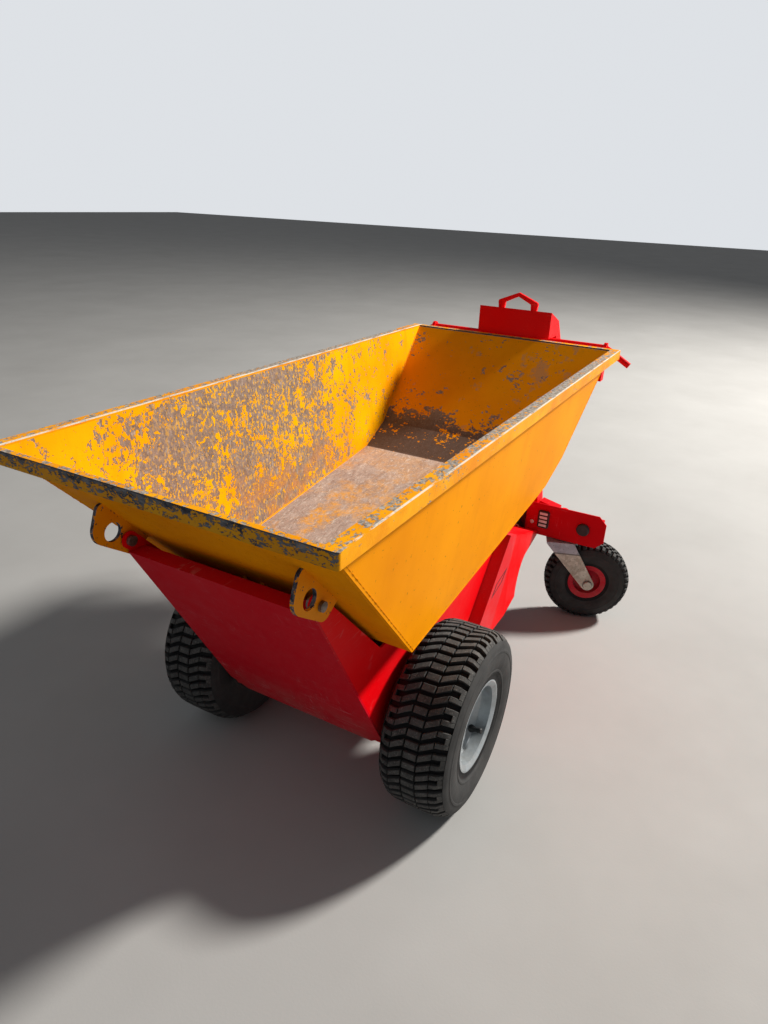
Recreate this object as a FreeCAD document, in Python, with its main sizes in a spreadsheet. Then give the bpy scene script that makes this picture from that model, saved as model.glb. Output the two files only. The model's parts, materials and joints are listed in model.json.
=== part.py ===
import FreeCAD, Part
import Sketcher
import math
import os
import re

# Site dumper: a battery-driven walk-behind tipper. A steel hopper tips forward about two
# bolts at the top of a wedge-shaped chassis, which rolls on two front drive wheels and on
# two swivel castors under the ends of a rear beam. Millimetres; +X towards the dump end,
# +Y to the machine's left, +Z up. Every outline is measured from the front axle's vertical
# plane, and each piece is then placed axle_x ahead of the origin, which lies on the ground
# midway between the hopper's front rim and the console's back.

doc = FreeCAD.newDocument("SiteDumper")
sheet = doc.addObject("Spreadsheet::Sheet", "Sizes")

SIZES = [
    # alias, value
    # hopper, measured inside unless it says outer
    ("rim_front", 598), ("rim_back", 1102), ("rim_half", 375), ("rim_top", 946),
    ("rim_height", 28), ("rim_side_lip", 30), ("rim_front_lip", 12), ("rim_back_lip", 20),
    ("rim_corner", 6), ("sheet_steel", 4),
    ("floor_front_x", 186), ("floor_front_z", 517), ("floor_back_x", 649),
    ("floor_back_z", 610), ("bend_x", 770), ("bend_z", 665), ("floor_half", 296),
    # tipping axis and ears
    ("pivot_x", 430), ("pivot_z", 731), ("pivot_bolt_r", 8), ("pivot_play", 0.4),
    ("bolt_head_r", 10), ("bolt_head", 7), ("bolt_nut", 8), ("ear_steel", 8),
    ("ear_gap", 3), ("ear_hole_r", 20), ("ear_hole_x", 463), ("ear_hole_z", 760),
    ("ear_low", 15), ("ear_high", 66), ("ear_low_r", 24), ("ear_nose_r", 34),
    ("ear_tip_r", 16),
    # chassis, measured outside
    ("chassis_half", 224), ("plate_steel", 5), ("belly_z", 187), ("nose_r", 18),
    ("front_foot_x", 140), ("front_top_x", 436), ("front_top_z", 707),
    ("foot_bevel", 38), ("top_flange", 40), ("deck_gap", 24),
    ("housing_deep", 36), ("housing_tail_deep", 2), ("housing_foot_x", 262),
    ("housing_peak_x", 534), ("housing_peak_z", 477), ("housing_taper_x", 560),
    ("tail_x", 950), ("tail_z", 302), ("tail_tall", 14), ("arch_x", 690), ("arch_r", 100),
    ("cover_steel", 3), ("gusset_y", 100), ("gusset_long", 190), ("gusset_steel", 8),
    # rear beam and panel
    ("panel_x", 950), ("panel_half", 455), ("panel_low", 304), ("panel_top", 421),
    ("panel_chamfer", 26), ("panel_steel", 4), ("beam_half", 436), ("beam_deep", 68),
    ("beam_low", 318), ("beam_top", 384), ("beam_steel", 4), ("brace_high", 33),
    ("brace_low", 18), ("brace_deep", 40),
    # handlebar, uprights and console
    ("upright_foot_deep", 60), ("upright_top_deep", 36), ("upright_thick", 24),
    ("upright_low_y", 202), ("upright_high_y", 76), ("bar_x", 1150), ("bar_z", 938),
    ("bar_r", 10), ("bar_bend_y", 317), ("bar_end_y", 400), ("bar_drop", 49),
    ("bar_bend_r", 60), ("lever_y", 310), ("lever_steel", 10), ("lever_half", 17),
    ("lever_low", 828), ("post_half", 22), ("post_deep", 40), ("post_back", 14.5),
    ("console_front", 1113), ("console_back", 1270), ("console_top", 1036),
    ("console_half", 129), ("console_crest_x", 1214), ("console_crest_z", 998),
    ("console_low", 925), ("loop_half", 68), ("loop_rise", 50), ("loop_bar", 16),
    ("loop_x", 1140), ("loop_deep", 12), ("seat_play", 0.3),
    # front wheels
    ("tyre_r", 228), ("tyre_wide", 175), ("wheel_gap", 13.5), ("rim_flange_r", 114),
    ("rim_seat_r", 101), ("rim_well_r", 84), ("rim_wide", 154),
    ("rim_gauge", 4), ("hub_r", 52), ("hub_barrel_r", 32), ("hub_nose_r", 20),
    ("hub_long", 54), ("axle_r", 15), ("axle_play", 0.3), ("axle_tube_r", 30),
    ("bearing_r", 45), ("bearing_long", 26),
    # castors
    ("castor_x", 988), ("castor_y", 300), ("castor_trail", 111), ("castor_turn", 110),
    ("castor_r", 146), ("castor_wide", 85), ("castor_rim_r", 65), ("castor_well_r", 50),
    ("castor_hub_r", 20), ("castor_bolt_r", 8), ("castor_play", 0.3),
    ("fork_half", 47), ("fork_steel", 6), ("fork_top_wide", 97), ("fork_end_r", 22),
    ("fork_top_z", 298), ("race_r", 27), ("race_gap", 0.5), ("head_r", 19),
    ("head_cap", 20), ("stem_r", 14),
    # tipping ram
    ("ram_foot_x", 210), ("ram_foot_z", 245), ("ram_eye_x", 290), ("ram_eye_z", 545),
    ("ram_body_r", 26), ("ram_rod_r", 11), ("ram_eye_r", 19), ("ram_eye_wide", 24),
    ("ram_pin_r", 8), ("ram_gap", 6), ("lug_steel", 8), ("ram_head_gap", 140),
    ("ram_play", 0.3), ("ram_tail", 60), ("ram_bracket_r", 20),
    # inside the chassis
    ("battery_front", 340), ("battery_long", 300), ("battery_side", 29),
    ("battery_tall", 205), ("motor_r", 50), ("motor_back", 115), ("motor_rise", 32),
    ("motor_half_gap", 60), ("motor_wide", 92), ("gear_r", 34),
    ("rest_x", 280), ("rest_long", 60), ("rest_wide", 24), ("rest_low", 430),
    ("rest_play", 0.3),
    # controls on the panel
    ("gauge_y", 243), ("gauge_half", 25), ("gauge_low", 332), ("gauge_tall", 63),
    ("socket_y", 381), ("socket_z", 362), ("socket_r", 22), ("switch_y", 155),
    ("switch_half", 24), ("switch_low", 319), ("switch_tall", 62), ("lamp_y", 202),
    ("lamp_z", 348), ("lamp_r", 7), ("knob_r", 9),
]
NAMES = {alias for alias, value in SIZES}
AXLE_X = "(console_back - rim_front) / 2"
WHEEL_Y = "(chassis_half + wheel_gap + tyre_wide / 2)"
SIDES = (("left", 1), ("right", -1))
nodes = []


def fill_sheet():
    for row, (alias, value) in enumerate(SIZES, start=1):
        cell = "A%d" % row
        sheet.set(cell, str(value))
        sheet.setAlias(cell, alias)
    doc.recompute()


def size(words):
    """The number that an expression in the sheet's own names stands for."""
    return float(sheet.evalExpression(str(words)))


def tied(words):
    """The same expression as another object has to write it."""
    return re.sub(r"[A-Za-z_]\w*", lambda m: "Sizes." + m.group(0) if m.group(0) in NAMES
                  else m.group(0), str(words))


def bind(thing, **values):
    for key, words in values.items():
        thing.setExpression(key.replace("__", "."), tied(words))


def shift(thing, x=0, y=0, z=0, turn=0):
    """Puts a piece at (x, y, z) from the front axle's foot, turned about the vertical."""
    bind(thing, Placement__Base__x=x, Placement__Base__y=y, Placement__Base__z=z)
    if turn:
        bind(thing, Placement__Rotation__Angle=turn)
    return thing


def keep(thing, label, x=0, y=0, z=0, turn=0):
    """The same for a finished sub-part, in the frame whose origin is midway along the part."""
    shift(thing, "%s + (%s)" % (AXLE_X, x), y, z, turn)
    thing.Label = label
    nodes.append(thing)
    return thing


def belt_lines(circles):
    """Straight runs of a belt laid round circles (x, y, r): r > 0 turns left round the
    circle, r < 0 turns right, 0 is a sharp corner. Gives each run's two ends."""
    runs = []
    for (ax, ay, ar), (bx, by, br) in zip(circles, circles[1:] + circles[:1]):
        reach = math.hypot(bx - ax, by - ay)
        side = math.atan2(by - ay, bx - ax) - math.acos((ar - br) / reach)
        nx, ny = math.cos(side), math.sin(side)
        runs.append(((ax + ar * nx, ay + ar * ny), (bx + br * nx, by + br * ny)))
    return runs


def fix_side(sketch, kind, geo, spot, words):
    rule = sketch.addConstraint(Sketcher.Constraint(kind, -1, 1, geo, spot, size(words)))
    sketch.setExpression("Constraints[%d]" % rule, tied(words))


def fix_point(sketch, geo, spot, across, up):
    fix_side(sketch, "DistanceX", geo, spot, across)
    fix_side(sketch, "DistanceY", geo, spot, up)


def fix_radius(sketch, geo, words):
    rule = sketch.addConstraint(Sketcher.Constraint("Radius", geo, size(words)))
    sketch.setExpression("Constraints[%d]" % rule, tied(words))


def draw_belt(sketch, corners):
    """A closed outline through corners (across, up) or round circles (across, up, radius)."""
    corners = [tuple(c) + (0,) * (3 - len(c)) for c in corners]
    circles = [tuple(size(w) for w in c) for c in corners]
    runs = belt_lines(circles)
    lines, arcs = [], []
    for start, end in runs:
        line = Part.LineSegment(FreeCAD.Vector(*start, 0), FreeCAD.Vector(*end, 0))
        lines.append(sketch.addGeometry(line, False))
    for index, (cx, cy, r) in enumerate(circles):
        arcs.append(None)
        if r == 0:
            continue
        into, out = runs[index - 1][1], runs[index][0]
        first, last = (into, out) if r > 0 else (out, into)
        angles = [math.atan2(p[1] - cy, p[0] - cx) for p in (first, last)]
        circle = Part.Circle(FreeCAD.Vector(cx, cy, 0), FreeCAD.Vector(0, 0, 1), abs(r))
        arcs[-1] = sketch.addGeometry(Part.ArcOfCircle(circle, *angles), False)
    for index, (words, (cx, cy, r)) in enumerate(zip(corners, circles)):
        before, after = lines[index - 1], lines[index]
        if arcs[index] is None:
            sketch.addConstraint(Sketcher.Constraint("Coincident", before, 2, after, 1))
            fix_point(sketch, after, 1, words[0], words[1])
            continue
        first, last = (1, 2) if r > 0 else (2, 1)
        arc = arcs[index]
        sketch.addConstraint(Sketcher.Constraint("Tangent", before, 2, arc, first))
        sketch.addConstraint(Sketcher.Constraint("Tangent", arc, last, after, 1))
        fix_point(sketch, arc, 3, words[0], words[1])
        fix_radius(sketch, arc, words[2] if r > 0 else "-(%s)" % words[2])


def draw_hole(sketch, hole):
    across, up, radius = hole
    circle = Part.Circle(FreeCAD.Vector(size(across), size(up), 0),
                         FreeCAD.Vector(0, 0, 1), size(radius))
    geo = sketch.addGeometry(circle, False)
    fix_point(sketch, geo, 3, across, up)
    fix_radius(sketch, geo, radius)


def new_sketch(body, name, plane):
    sketch = body.newObject("Sketcher::SketchObject", name)
    base = [f for f in body.Origin.OriginFeatures if f.Role == plane][0]
    sketch.AttachmentSupport = [(base, "")]
    sketch.MapMode = "FlatFace"
    return sketch


def prism(name, plane, corners, depth, holes=(), middle=False, back=False):
    """A body padded from an outline on its XY, XZ or YZ plane. A pad on XZ grows towards -Y
    unless back is set."""
    body = doc.addObject("PartDesign::Body", name)
    sketch = new_sketch(body, name + "_outline", plane + "_Plane")
    draw_belt(sketch, corners)
    for hole in holes:
        draw_hole(sketch, hole)
    pad = body.newObject("PartDesign::Pad", name + "_pad")
    pad.Profile = sketch
    pad.Midplane = middle
    pad.Reversed = back
    bind(pad, Length=depth)
    return body


def turned(name, corners):
    """A body turned about its own Y axis from an outline of (radius, along Y) corners."""
    body = doc.addObject("PartDesign::Body", name)
    sketch = new_sketch(body, name + "_section", "XY_Plane")
    draw_belt(sketch, corners)
    turn = body.newObject("PartDesign::Revolution", name + "_turn")
    turn.Profile = sketch
    turn.ReferenceAxis = (sketch, ["V_Axis"])
    turn.Angle = 360
    return body


def joined(kind, name, pieces):
    thing = doc.addObject("Part::" + kind, name)
    if kind in ("Cut", "Common"):
        thing.Base, thing.Tool = pieces
    else:
        thing.Shapes = pieces
    return thing


# Lines of the hopper and the chassis in side view, as expressions in the sheet's names

SHEET_TOP = "(rim_top - sheet_steel)"


def on_line(start, end, z):
    """Where the straight line from start to end, both (x, z), passes height z."""
    (ax, az), (bx, bz) = start, end
    return "((%s) + ((%s) - (%s)) * ((%s) - (%s)) / ((%s) - (%s)))" % (
        ax, z, az, bx, ax, bz, az)


def level_wall(start, end, gauge):
    """How far a sheet of that gauge reaches across, cut level, along such a line."""
    (ax, az), (bx, bz) = start, end
    return "(%s * sqrt(((%s) - (%s))^2 + ((%s) - (%s))^2) / abs((%s) - (%s)))" % (
        gauge, bx, ax, bz, az, bz, az)


RIM_FRONT_IN = ("rim_front - rim_front_lip", "rim_top")
RIM_BACK_IN = ("-(rim_back - rim_back_lip)", "rim_top")
FLOOR_FRONT = ("floor_front_x", "floor_front_z")
FLOOR_BACK = ("-floor_back_x", "floor_back_z")
BEND = ("-bend_x", "bend_z")
SIDE_LOW = ("floor_half", "floor_front_z")
SIDE_HIGH = ("rim_half - rim_side_lip", "rim_top")
FRONT_FOOT = ("front_foot_x", "belly_z")
FRONT_TOP = ("front_top_x", "front_top_z")
FRONT_LEVEL = level_wall(FRONT_FOOT, FRONT_TOP, "plate_steel")


def front_wall_out(z):
    return "(%s + %s)" % (on_line(FLOOR_FRONT, RIM_FRONT_IN, z),
                          level_wall(FLOOR_FRONT, RIM_FRONT_IN, "sheet_steel"))


def floor_out(x):
    """Height of the floor's underside."""
    rise = "(floor_back_z - floor_front_z) / (floor_back_x + floor_front_x)"
    return ("(floor_front_z + (floor_front_x - (%s)) * %s - sheet_steel * sqrt(1 + (%s)^2))"
            % (x, rise, rise))


def hopper_underside():
    """Outer line of the bent sheet from the back wall's top to the front wall's top."""
    back_level = level_wall(BEND, RIM_BACK_IN, "sheet_steel")
    return [
        ("%s - %s" % (on_line(BEND, RIM_BACK_IN, SHEET_TOP), back_level), SHEET_TOP),
        BEND + ("sheet_steel",),
        FLOOR_BACK + ("sheet_steel",),
        FLOOR_FRONT + ("sheet_steel",),
        (front_wall_out(SHEET_TOP), SHEET_TOP),
    ]


def side_half(z):
    return on_line(SIDE_LOW, SIDE_HIGH, z)


def make_hopper():
    inside = [
        (on_line(FLOOR_FRONT, RIM_FRONT_IN, SHEET_TOP), SHEET_TOP),
        FLOOR_FRONT, FLOOR_BACK, BEND,
        (on_line(BEND, RIM_BACK_IN, SHEET_TOP), SHEET_TOP),
    ]
    bent = prism("bent_sheet", "XZ", hopper_underside() + inside, "2 * rim_half", middle=True)
    low = "floor_front_z - 3 * sheet_steel"
    width = [("-" + side_half(low), low), (side_half(low), low),
             (side_half(SHEET_TOP), SHEET_TOP), ("-" + side_half(SHEET_TOP), SHEET_TOP)]
    span = prism("bent_sheet_width", "YZ", width, "rim_back + rim_front")
    shift(span, x="-rim_back")
    keep(joined("Common", "hopper_bent_sheet_solid", (bent, span)), "hopper_bent_sheet")
    for side, way in SIDES:
        outline = prism("side_outline_" + side, "XZ", hopper_underside(), "2 * rim_half",
                        middle=True)
        gauge = level_wall(SIDE_LOW, SIDE_HIGH, "sheet_steel")
        inner = [(side_half(low), low), (side_half(SHEET_TOP), SHEET_TOP)]
        outer = [("%s + %s" % (y, gauge), z) for y, z in inner]
        section = [inner[0], outer[0], outer[1], inner[1]]
        if way < 0:
            section = [("-(%s)" % y, z) for y, z in reversed(section)]
        slab = prism("side_slab_" + side, "YZ", section, "rim_back + rim_front")
        shift(slab, x="-rim_back")
        keep(joined("Common", "hopper_side_solid_" + side, (outline, slab)),
             "hopper_side_" + side)


def plan_corners(front, back, half, corner):
    """A rounded rectangle in plan, anticlockwise."""
    if corner is None:
        return [("-(%s)" % back, "-(%s)" % half), (front, "-(%s)" % half), (front, half),
                ("-(%s)" % back, half)]
    xs = ("(%s) - (%s)" % (front, corner), "-((%s) - (%s))" % (back, corner))
    y = "(%s) - (%s)" % (half, corner)
    return [(xs[1], "-(%s)" % y, corner), (xs[0], "-(%s)" % y, corner), (xs[0], y, corner),
            (xs[1], y, corner)]


def make_rim():
    outer = prism("rim_outer", "XY", plan_corners("rim_front", "rim_back", "rim_half",
                                                  "rim_corner"), "rim_height")
    skirt = ("rim_front - sheet_steel", "rim_back - sheet_steel", "rim_half - sheet_steel",
             "rim_corner - sheet_steel")
    under = prism("rim_under", "XY", plan_corners(*skirt), "rim_height - sheet_steel")
    mouth = prism("rim_mouth", "XY", plan_corners(
        "rim_front - rim_front_lip", "rim_back - rim_back_lip", "rim_half - rim_side_lip",
        None), "rim_height")
    hollow = joined("MultiFuse", "rim_hollow", [under, mouth])
    rim = joined("Cut", "hopper_rim_solid", (outer, hollow))
    keep(rim, "hopper_rim", z="rim_top - rim_height")


def make_ears():
    low_z = "pivot_z - ear_low"
    high_z = "ear_hole_z + ear_high"
    corners = [
        (front_wall_out(low_z), low_z),
        ("pivot_x - ear_low_r / 2", "pivot_z - ear_low_r / 2", "ear_low_r"),
        ("ear_hole_x + ear_nose_r / 3", "ear_hole_z + ear_nose_r / 3", "ear_nose_r"),
        ("ear_hole_x + ear_tip_r", "ear_hole_z + ear_high - ear_tip_r", "ear_tip_r"),
        (front_wall_out(high_z), high_z),
    ]
    holes = [("ear_hole_x", "ear_hole_z", "ear_hole_r"),
             ("pivot_x", "pivot_z", "pivot_bolt_r + pivot_play")]
    for side, way in SIDES:
        ear = prism("ear_solid_" + side, "XZ", corners, "ear_steel", holes, back=way > 0)
        keep(ear, "ear_" + side, y="%d * (chassis_half + ear_gap)" % way)


def make_lugs():
    """Two plates on the front wall's outside that take the ram's upper eye between them."""
    high_z = "ram_eye_z + 115"
    low_z = "floor_front_z + 15"
    corners = [
        (front_wall_out(low_z), low_z),
        ("ram_eye_x", "ram_eye_z", "ram_eye_r + 3"),
        (front_wall_out(high_z), high_z),
    ]
    gap = "(ram_eye_wide / 2 + ram_gap)"
    plates = []
    for side, way in SIDES:
        plate = prism("lug_" + side, "XZ", corners, "lug_steel", back=way > 0)
        plates.append(shift(plate, y="%d * %s" % (way, gap)))
        head = turned("lug_bolt_" + side, [("0", "0"), ("ram_pin_r + 5", "0"),
                                           ("ram_pin_r + 5", "7"), ("0", "7")])
        plates.append(shift(head, x="ram_eye_x", z="ram_eye_z", y=(
            "%s + lug_steel" % gap if way > 0 else "-(%s + lug_steel) - 7" % gap)))
    keep(joined("MultiFuse", "ram_lugs_solid", plates), "ram_lugs")


def deck_line():
    """Top edge of the side plates, from the nose back to the tail: a gap under the hopper."""
    far = level_wall(FLOOR_FRONT, RIM_FRONT_IN, "nose_r")
    front_x = "(pivot_x - %s + (floor_front_z - deck_gap - pivot_z) * " \
              "(rim_front - rim_front_lip - floor_front_x) / (rim_top - floor_front_z))" % far
    return [
        ("pivot_x", "pivot_z", "nose_r"),
        (front_x, "floor_front_z - deck_gap"),
        ("-housing_peak_x", "housing_peak_z"),
        ("-tail_x", "tail_z + tail_tall"),
    ]


def arch_line():
    return [
        ("-tail_x", "tail_z"),
        ("-(arch_x + arch_r)", "tail_z - arch_r", "-arch_r"),
        ("-arch_x", "belly_z"),
    ]


def make_side_plates():
    corners = arch_line() + [
        ("front_foot_x - %s" % FRONT_LEVEL, "belly_z"),
        ("front_top_x - %s" % FRONT_LEVEL, "front_top_z"),
    ] + deck_line()
    holes = [("pivot_x", "pivot_z", "pivot_bolt_r"), ("0", "tyre_r", "axle_tube_r")]
    for side, way in SIDES:
        plate = prism("side_plate_solid_" + side, "XZ", corners, "plate_steel", holes,
                      back=way < 0)
        keep(plate, "side_plate_" + side, y="%d * chassis_half" % way)


def make_front_plate():
    """The sloping front sheet, its lower corners cut off, and a flange along its top."""
    inner_foot = ("front_foot_x - %s" % FRONT_LEVEL, "belly_z")
    inner_top = ("front_top_x - %s" % FRONT_LEVEL, "front_top_z")
    face = prism("front_face", "XZ", [FRONT_FOOT, FRONT_TOP, inner_top, inner_foot],
                 "2 * chassis_half", middle=True)
    half, bevel = "chassis_half", "foot_bevel"
    outline = [("-(%s - %s)" % (half, bevel), "belly_z"), ("%s - %s" % (half, bevel), "belly_z"),
               (half, "belly_z + " + bevel), (half, "front_top_z"),
               ("-" + half, "front_top_z"), ("-" + half, "belly_z + " + bevel)]
    window = prism("front_outline", "YZ", outline, "2 * front_top_x")
    under = "front_top_z - plate_steel"
    flange = prism("front_flange", "XZ", [
        inner_top, ("front_top_x - top_flange", "front_top_z"),
        ("front_top_x - top_flange", under), (on_line(inner_foot, inner_top, under), under),
    ], "2 * (chassis_half - plate_steel)", middle=True)
    sheet_part = joined("Common", "front_sheet", (face, window))
    keep(joined("MultiFuse", "front_plate_solid", [sheet_part, flange]), "front_plate")


COVER_SLOPE = "((housing_peak_z - tail_z - tail_tall) / (tail_x - housing_peak_x))"


def make_belly_and_cover():
    half = "(chassis_half - plate_steel)"
    belly = prism("belly_solid", "XY", plan_corners("front_foot_x - %s" % FRONT_LEVEL,
                                                    "arch_x", half, None), "plate_steel")
    keep(belly, "belly_plate", z="belly_z")
    drop = "(cover_steel * sqrt(1 + %s^2))" % COVER_SLOPE
    front = "-battery_front + 10"
    tail_top = "tail_z + tail_tall"
    corners = [
        ("-tail_x", "%s - %s" % (tail_top, drop)),
        ("-housing_peak_x", "housing_peak_z - %s" % drop),
        (front, "housing_peak_z - %s" % drop), (front, "housing_peak_z"),
        ("-housing_peak_x", "housing_peak_z"), ("-tail_x", tail_top),
    ]
    cover = prism("rear_cover_solid", "XZ", corners, "2 * %s" % half, middle=True)
    keep(cover, "rear_cover")


def make_housings():
    corners = arch_line() + [
        ("-housing_foot_x", "belly_z"),
        ("-housing_peak_x", "housing_peak_z"),
        ("-tail_x", "tail_z + tail_tall"),
    ]
    for side, way in SIDES:
        block = prism("housing_block_" + side, "XZ", corners, "housing_deep",
                      back=way > 0)
        shift(block, y="%d * chassis_half" % way)
        plan = [("-tail_x", "chassis_half"), ("-housing_foot_x", "chassis_half"),
                ("-housing_foot_x", "chassis_half + housing_deep"),
                ("-housing_taper_x", "chassis_half + housing_deep"),
                ("-tail_x", "chassis_half + housing_tail_deep")]
        if way < 0:
            plan = [(x, "-(%s)" % y) for x, y in reversed(plan)]
        tapered = prism("housing_plan_" + side, "XY", plan, "pivot_z")
        keep(joined("Common", "rear_housing_solid_" + side, (block, tapered)),
             "rear_housing_" + side)


def make_rear_beam():
    """A folded channel, open to the back, that carries the castors' swivel heads."""
    back = "-(panel_x + panel_steel + beam_deep)"
    box = doc.addObject("Part::Box", "beam_box")
    bind(box, Length="beam_deep", Width="2 * beam_half", Height="beam_top - beam_low")
    shift(box, x=back, y="-beam_half", z="beam_low")
    inside = doc.addObject("Part::Box", "beam_inside")
    bind(inside, Length="beam_deep - beam_steel", Width="2 * (beam_half - beam_steel)",
         Height="beam_top - beam_low - 2 * beam_steel")
    shift(inside, x=back, y="-(beam_half - beam_steel)", z="beam_low + beam_steel")
    bores, heads, braces = [inside], [], []
    for side, way in SIDES:
        bore = doc.addObject("Part::Cylinder", "beam_bore_" + side)
        bind(bore, Radius="head_r", Height="beam_top")
        bores.append(shift(bore, x="-castor_x", y="%d * castor_y" % way))
        foot, end = "upright_low_y + upright_thick / 2 + seat_play", "castor_y - head_r - race_gap"
        wedge = [(foot, "beam_top"), (end, "beam_top"), (end, "beam_top + brace_low"),
                 (foot, "beam_top + brace_high")]
        if way < 0:
            wedge = [("-(%s)" % y, z) for y, z in reversed(wedge)]
        brace = prism("beam_brace_" + side, "YZ", wedge, "brace_deep")
        braces.append(shift(brace, x=back))
    hollow = joined("MultiFuse", "beam_hollow", bores)
    beam = joined("Cut", "beam_channel", (box, hollow))
    keep(joined("MultiFuse", "cross_beam_solid", [beam] + braces), "cross_beam")
    tall = "(beam_top - beam_low)"
    for side, way in SIDES:
        head = turned("castor_head_" + side, [
            ("stem_r + castor_play", "0"), ("head_r", "0"),
            ("head_r", tall + " + head_cap - 5"), ("head_r - 5", tall + " + head_cap"),
            ("0", tall + " + head_cap"),
            ("0", tall + " + 2"), ("stem_r + castor_play", tall + " + 2"),
        ])
        head.Placement.Rotation = FreeCAD.Rotation(FreeCAD.Vector(1, 0, 0), 90)
        heads.append(shift(head, x="-castor_x", y="%d * castor_y" % way, z="beam_low"))
    keep(joined("MultiFuse", "castor_heads_solid", heads), "castor_heads")
    chamfered = []
    for y_way, z_words in ((1, "panel_low"), (1, "panel_top"), (-1, "panel_top"),
                           (-1, "panel_low")):
        inward = "panel_chamfer" if z_words == "panel_low" else "-panel_chamfer"
        pair = [("%d * (panel_half - panel_chamfer)" % y_way, z_words),
                ("%d * panel_half" % y_way, "%s + %s" % (z_words, inward))]
        if (y_way > 0) != (z_words == "panel_low"):
            pair.reverse()
        chamfered += pair
    panel = prism("control_panel_solid", "YZ", chamfered, "panel_steel")
    keep(panel, "control_panel", x="-(panel_x + panel_steel)")
    rise = "tail_z + tail_tall + gusset_long * %s" % COVER_SLOPE
    web = [("-panel_x", "tail_z + tail_tall"), ("-(panel_x - gusset_long)", rise),
           ("-(panel_x - gusset_long)", rise + " + 8"), ("-panel_x", "panel_top - 6")]
    webs = []
    for side, way in SIDES:
        gusset = prism("gusset_" + side, "XZ", web, "gusset_steel", back=way < 0)
        webs.append(shift(gusset, y="%d * gusset_y" % way))
    keep(joined("MultiFuse", "rear_gussets_solid", webs), "rear_gussets")


def make_controls():
    face = "-panel_x"
    block = doc.addObject("Part::Box", "switch_box")
    bind(block, Length="5", Width="2 * switch_half", Height="switch_tall")
    shift(block, x=face, y="switch_y - switch_half", z="switch_low")
    knobs = []
    for index, up in enumerate((0.27, 0.77)):
        knob = turned("switch_knob_%d" % index, [("0", "0"), ("knob_r", "0"),
                                                 ("knob_r - 2", "14"), ("0", "14")])
        knob.Placement.Rotation = FreeCAD.Rotation(FreeCAD.Vector(0, 0, 1), -90)
        knobs.append(shift(knob, x=face + " + 5", y="switch_y", z="switch_low + %s * switch_tall"
                           % up))
    keep(joined("MultiFuse", "switch_block_solid", [block] + knobs), "switch_block")
    gauge = doc.addObject("Part::Box", "charge_gauge_solid")
    bind(gauge, Length="4", Width="2 * gauge_half", Height="gauge_tall")
    keep(gauge, "charge_gauge", x=face, y="gauge_y - gauge_half", z="gauge_low")
    for label, y, z, r, deep in (("charge_socket", "socket_y", "socket_z", "socket_r", 9),
                                 ("indicator_lamp", "lamp_y", "lamp_z", "lamp_r", 5)):
        disc = turned(label + "_solid", [("0", "0"), (r, "0"), (r, "%s - 3" % deep),
                                         ("%s - 3" % r, deep), ("0", deep)])
        keep(disc, label, x=face, y=y, z=z)
        disc.Placement.Rotation = FreeCAD.Rotation(FreeCAD.Vector(0, 0, 1), -90)


def make_handles():
    """A bar whose ends bend down into grips, with a lever hanging inside each grip."""
    half = doc.addObject("PartDesign::Body", "handlebar_pipe_body")
    path = new_sketch(half, "handlebar_path", "YZ_Plane")
    fall = math.atan2(size("bar_drop"), size("bar_end_y - bar_bend_y"))
    reach = size("bar_bend_r") * math.tan(fall / 2)
    bend_y, end_y, drop = size("bar_bend_y"), size("bar_end_y"), size("bar_drop")
    radius = size("bar_bend_r")
    first = path.addGeometry(Part.LineSegment(FreeCAD.Vector(0, 0, 0),
                                              FreeCAD.Vector(bend_y - reach, 0, 0)), False)
    arc = path.addGeometry(Part.ArcOfCircle(
        Part.Circle(FreeCAD.Vector(bend_y - reach, -radius, 0), FreeCAD.Vector(0, 0, 1), radius),
        math.pi / 2 - fall, math.pi / 2), False)
    bent_y = bend_y + reach * math.cos(fall)
    last = path.addGeometry(Part.LineSegment(
        FreeCAD.Vector(bent_y, -reach * math.sin(fall), 0), FreeCAD.Vector(end_y, -drop, 0)),
        False)
    path.addConstraint(Sketcher.Constraint("Coincident", first, 1, -1, 1))
    path.addConstraint(Sketcher.Constraint("Horizontal", first))
    path.addConstraint(Sketcher.Constraint("Tangent", first, 2, arc, 2))
    path.addConstraint(Sketcher.Constraint("Tangent", arc, 1, last, 1))
    fix_radius(path, arc, "bar_bend_r")
    fix_point(path, last, 2, "bar_end_y", "-bar_drop")
    fix_side(path, "DistanceX", first, 2, "bar_bend_y - bar_bend_r * tan(atan2(bar_drop; "
             "bar_end_y - bar_bend_y) / 2)")
    ring = new_sketch(half, "handlebar_ring", "XZ_Plane")
    draw_hole(ring, ("0", "0", "bar_r"))
    pipe = half.newObject("PartDesign::AdditivePipe", "handlebar_pipe")
    pipe.Profile = ring
    pipe.Spine = (path, [])
    doc.recompute()
    mirror = half.newObject("PartDesign::Mirrored", "handlebar_mirror")
    mirror.Originals = [pipe]
    mirror.MirrorPlane = ([f for f in half.Origin.OriginFeatures if f.Role == "XZ_Plane"][0],
                          [""])
    half.Tip = mirror
    pieces = [shift(half, x="-bar_x", z="bar_z")]
    outline = [("-bar_x", "bar_z", "lever_half"), ("-(bar_x + lever_half)", "lever_low"),
               ("-(bar_x - lever_half)", "lever_low")]
    for side, way in SIDES:
        lever = prism("lever_" + side, "XZ", outline, "lever_steel", back=way > 0)
        pieces.append(shift(lever, y="%d * lever_y" % way))
    keep(joined("MultiFuse", "handlebar_solid", pieces), "handlebar")


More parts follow.
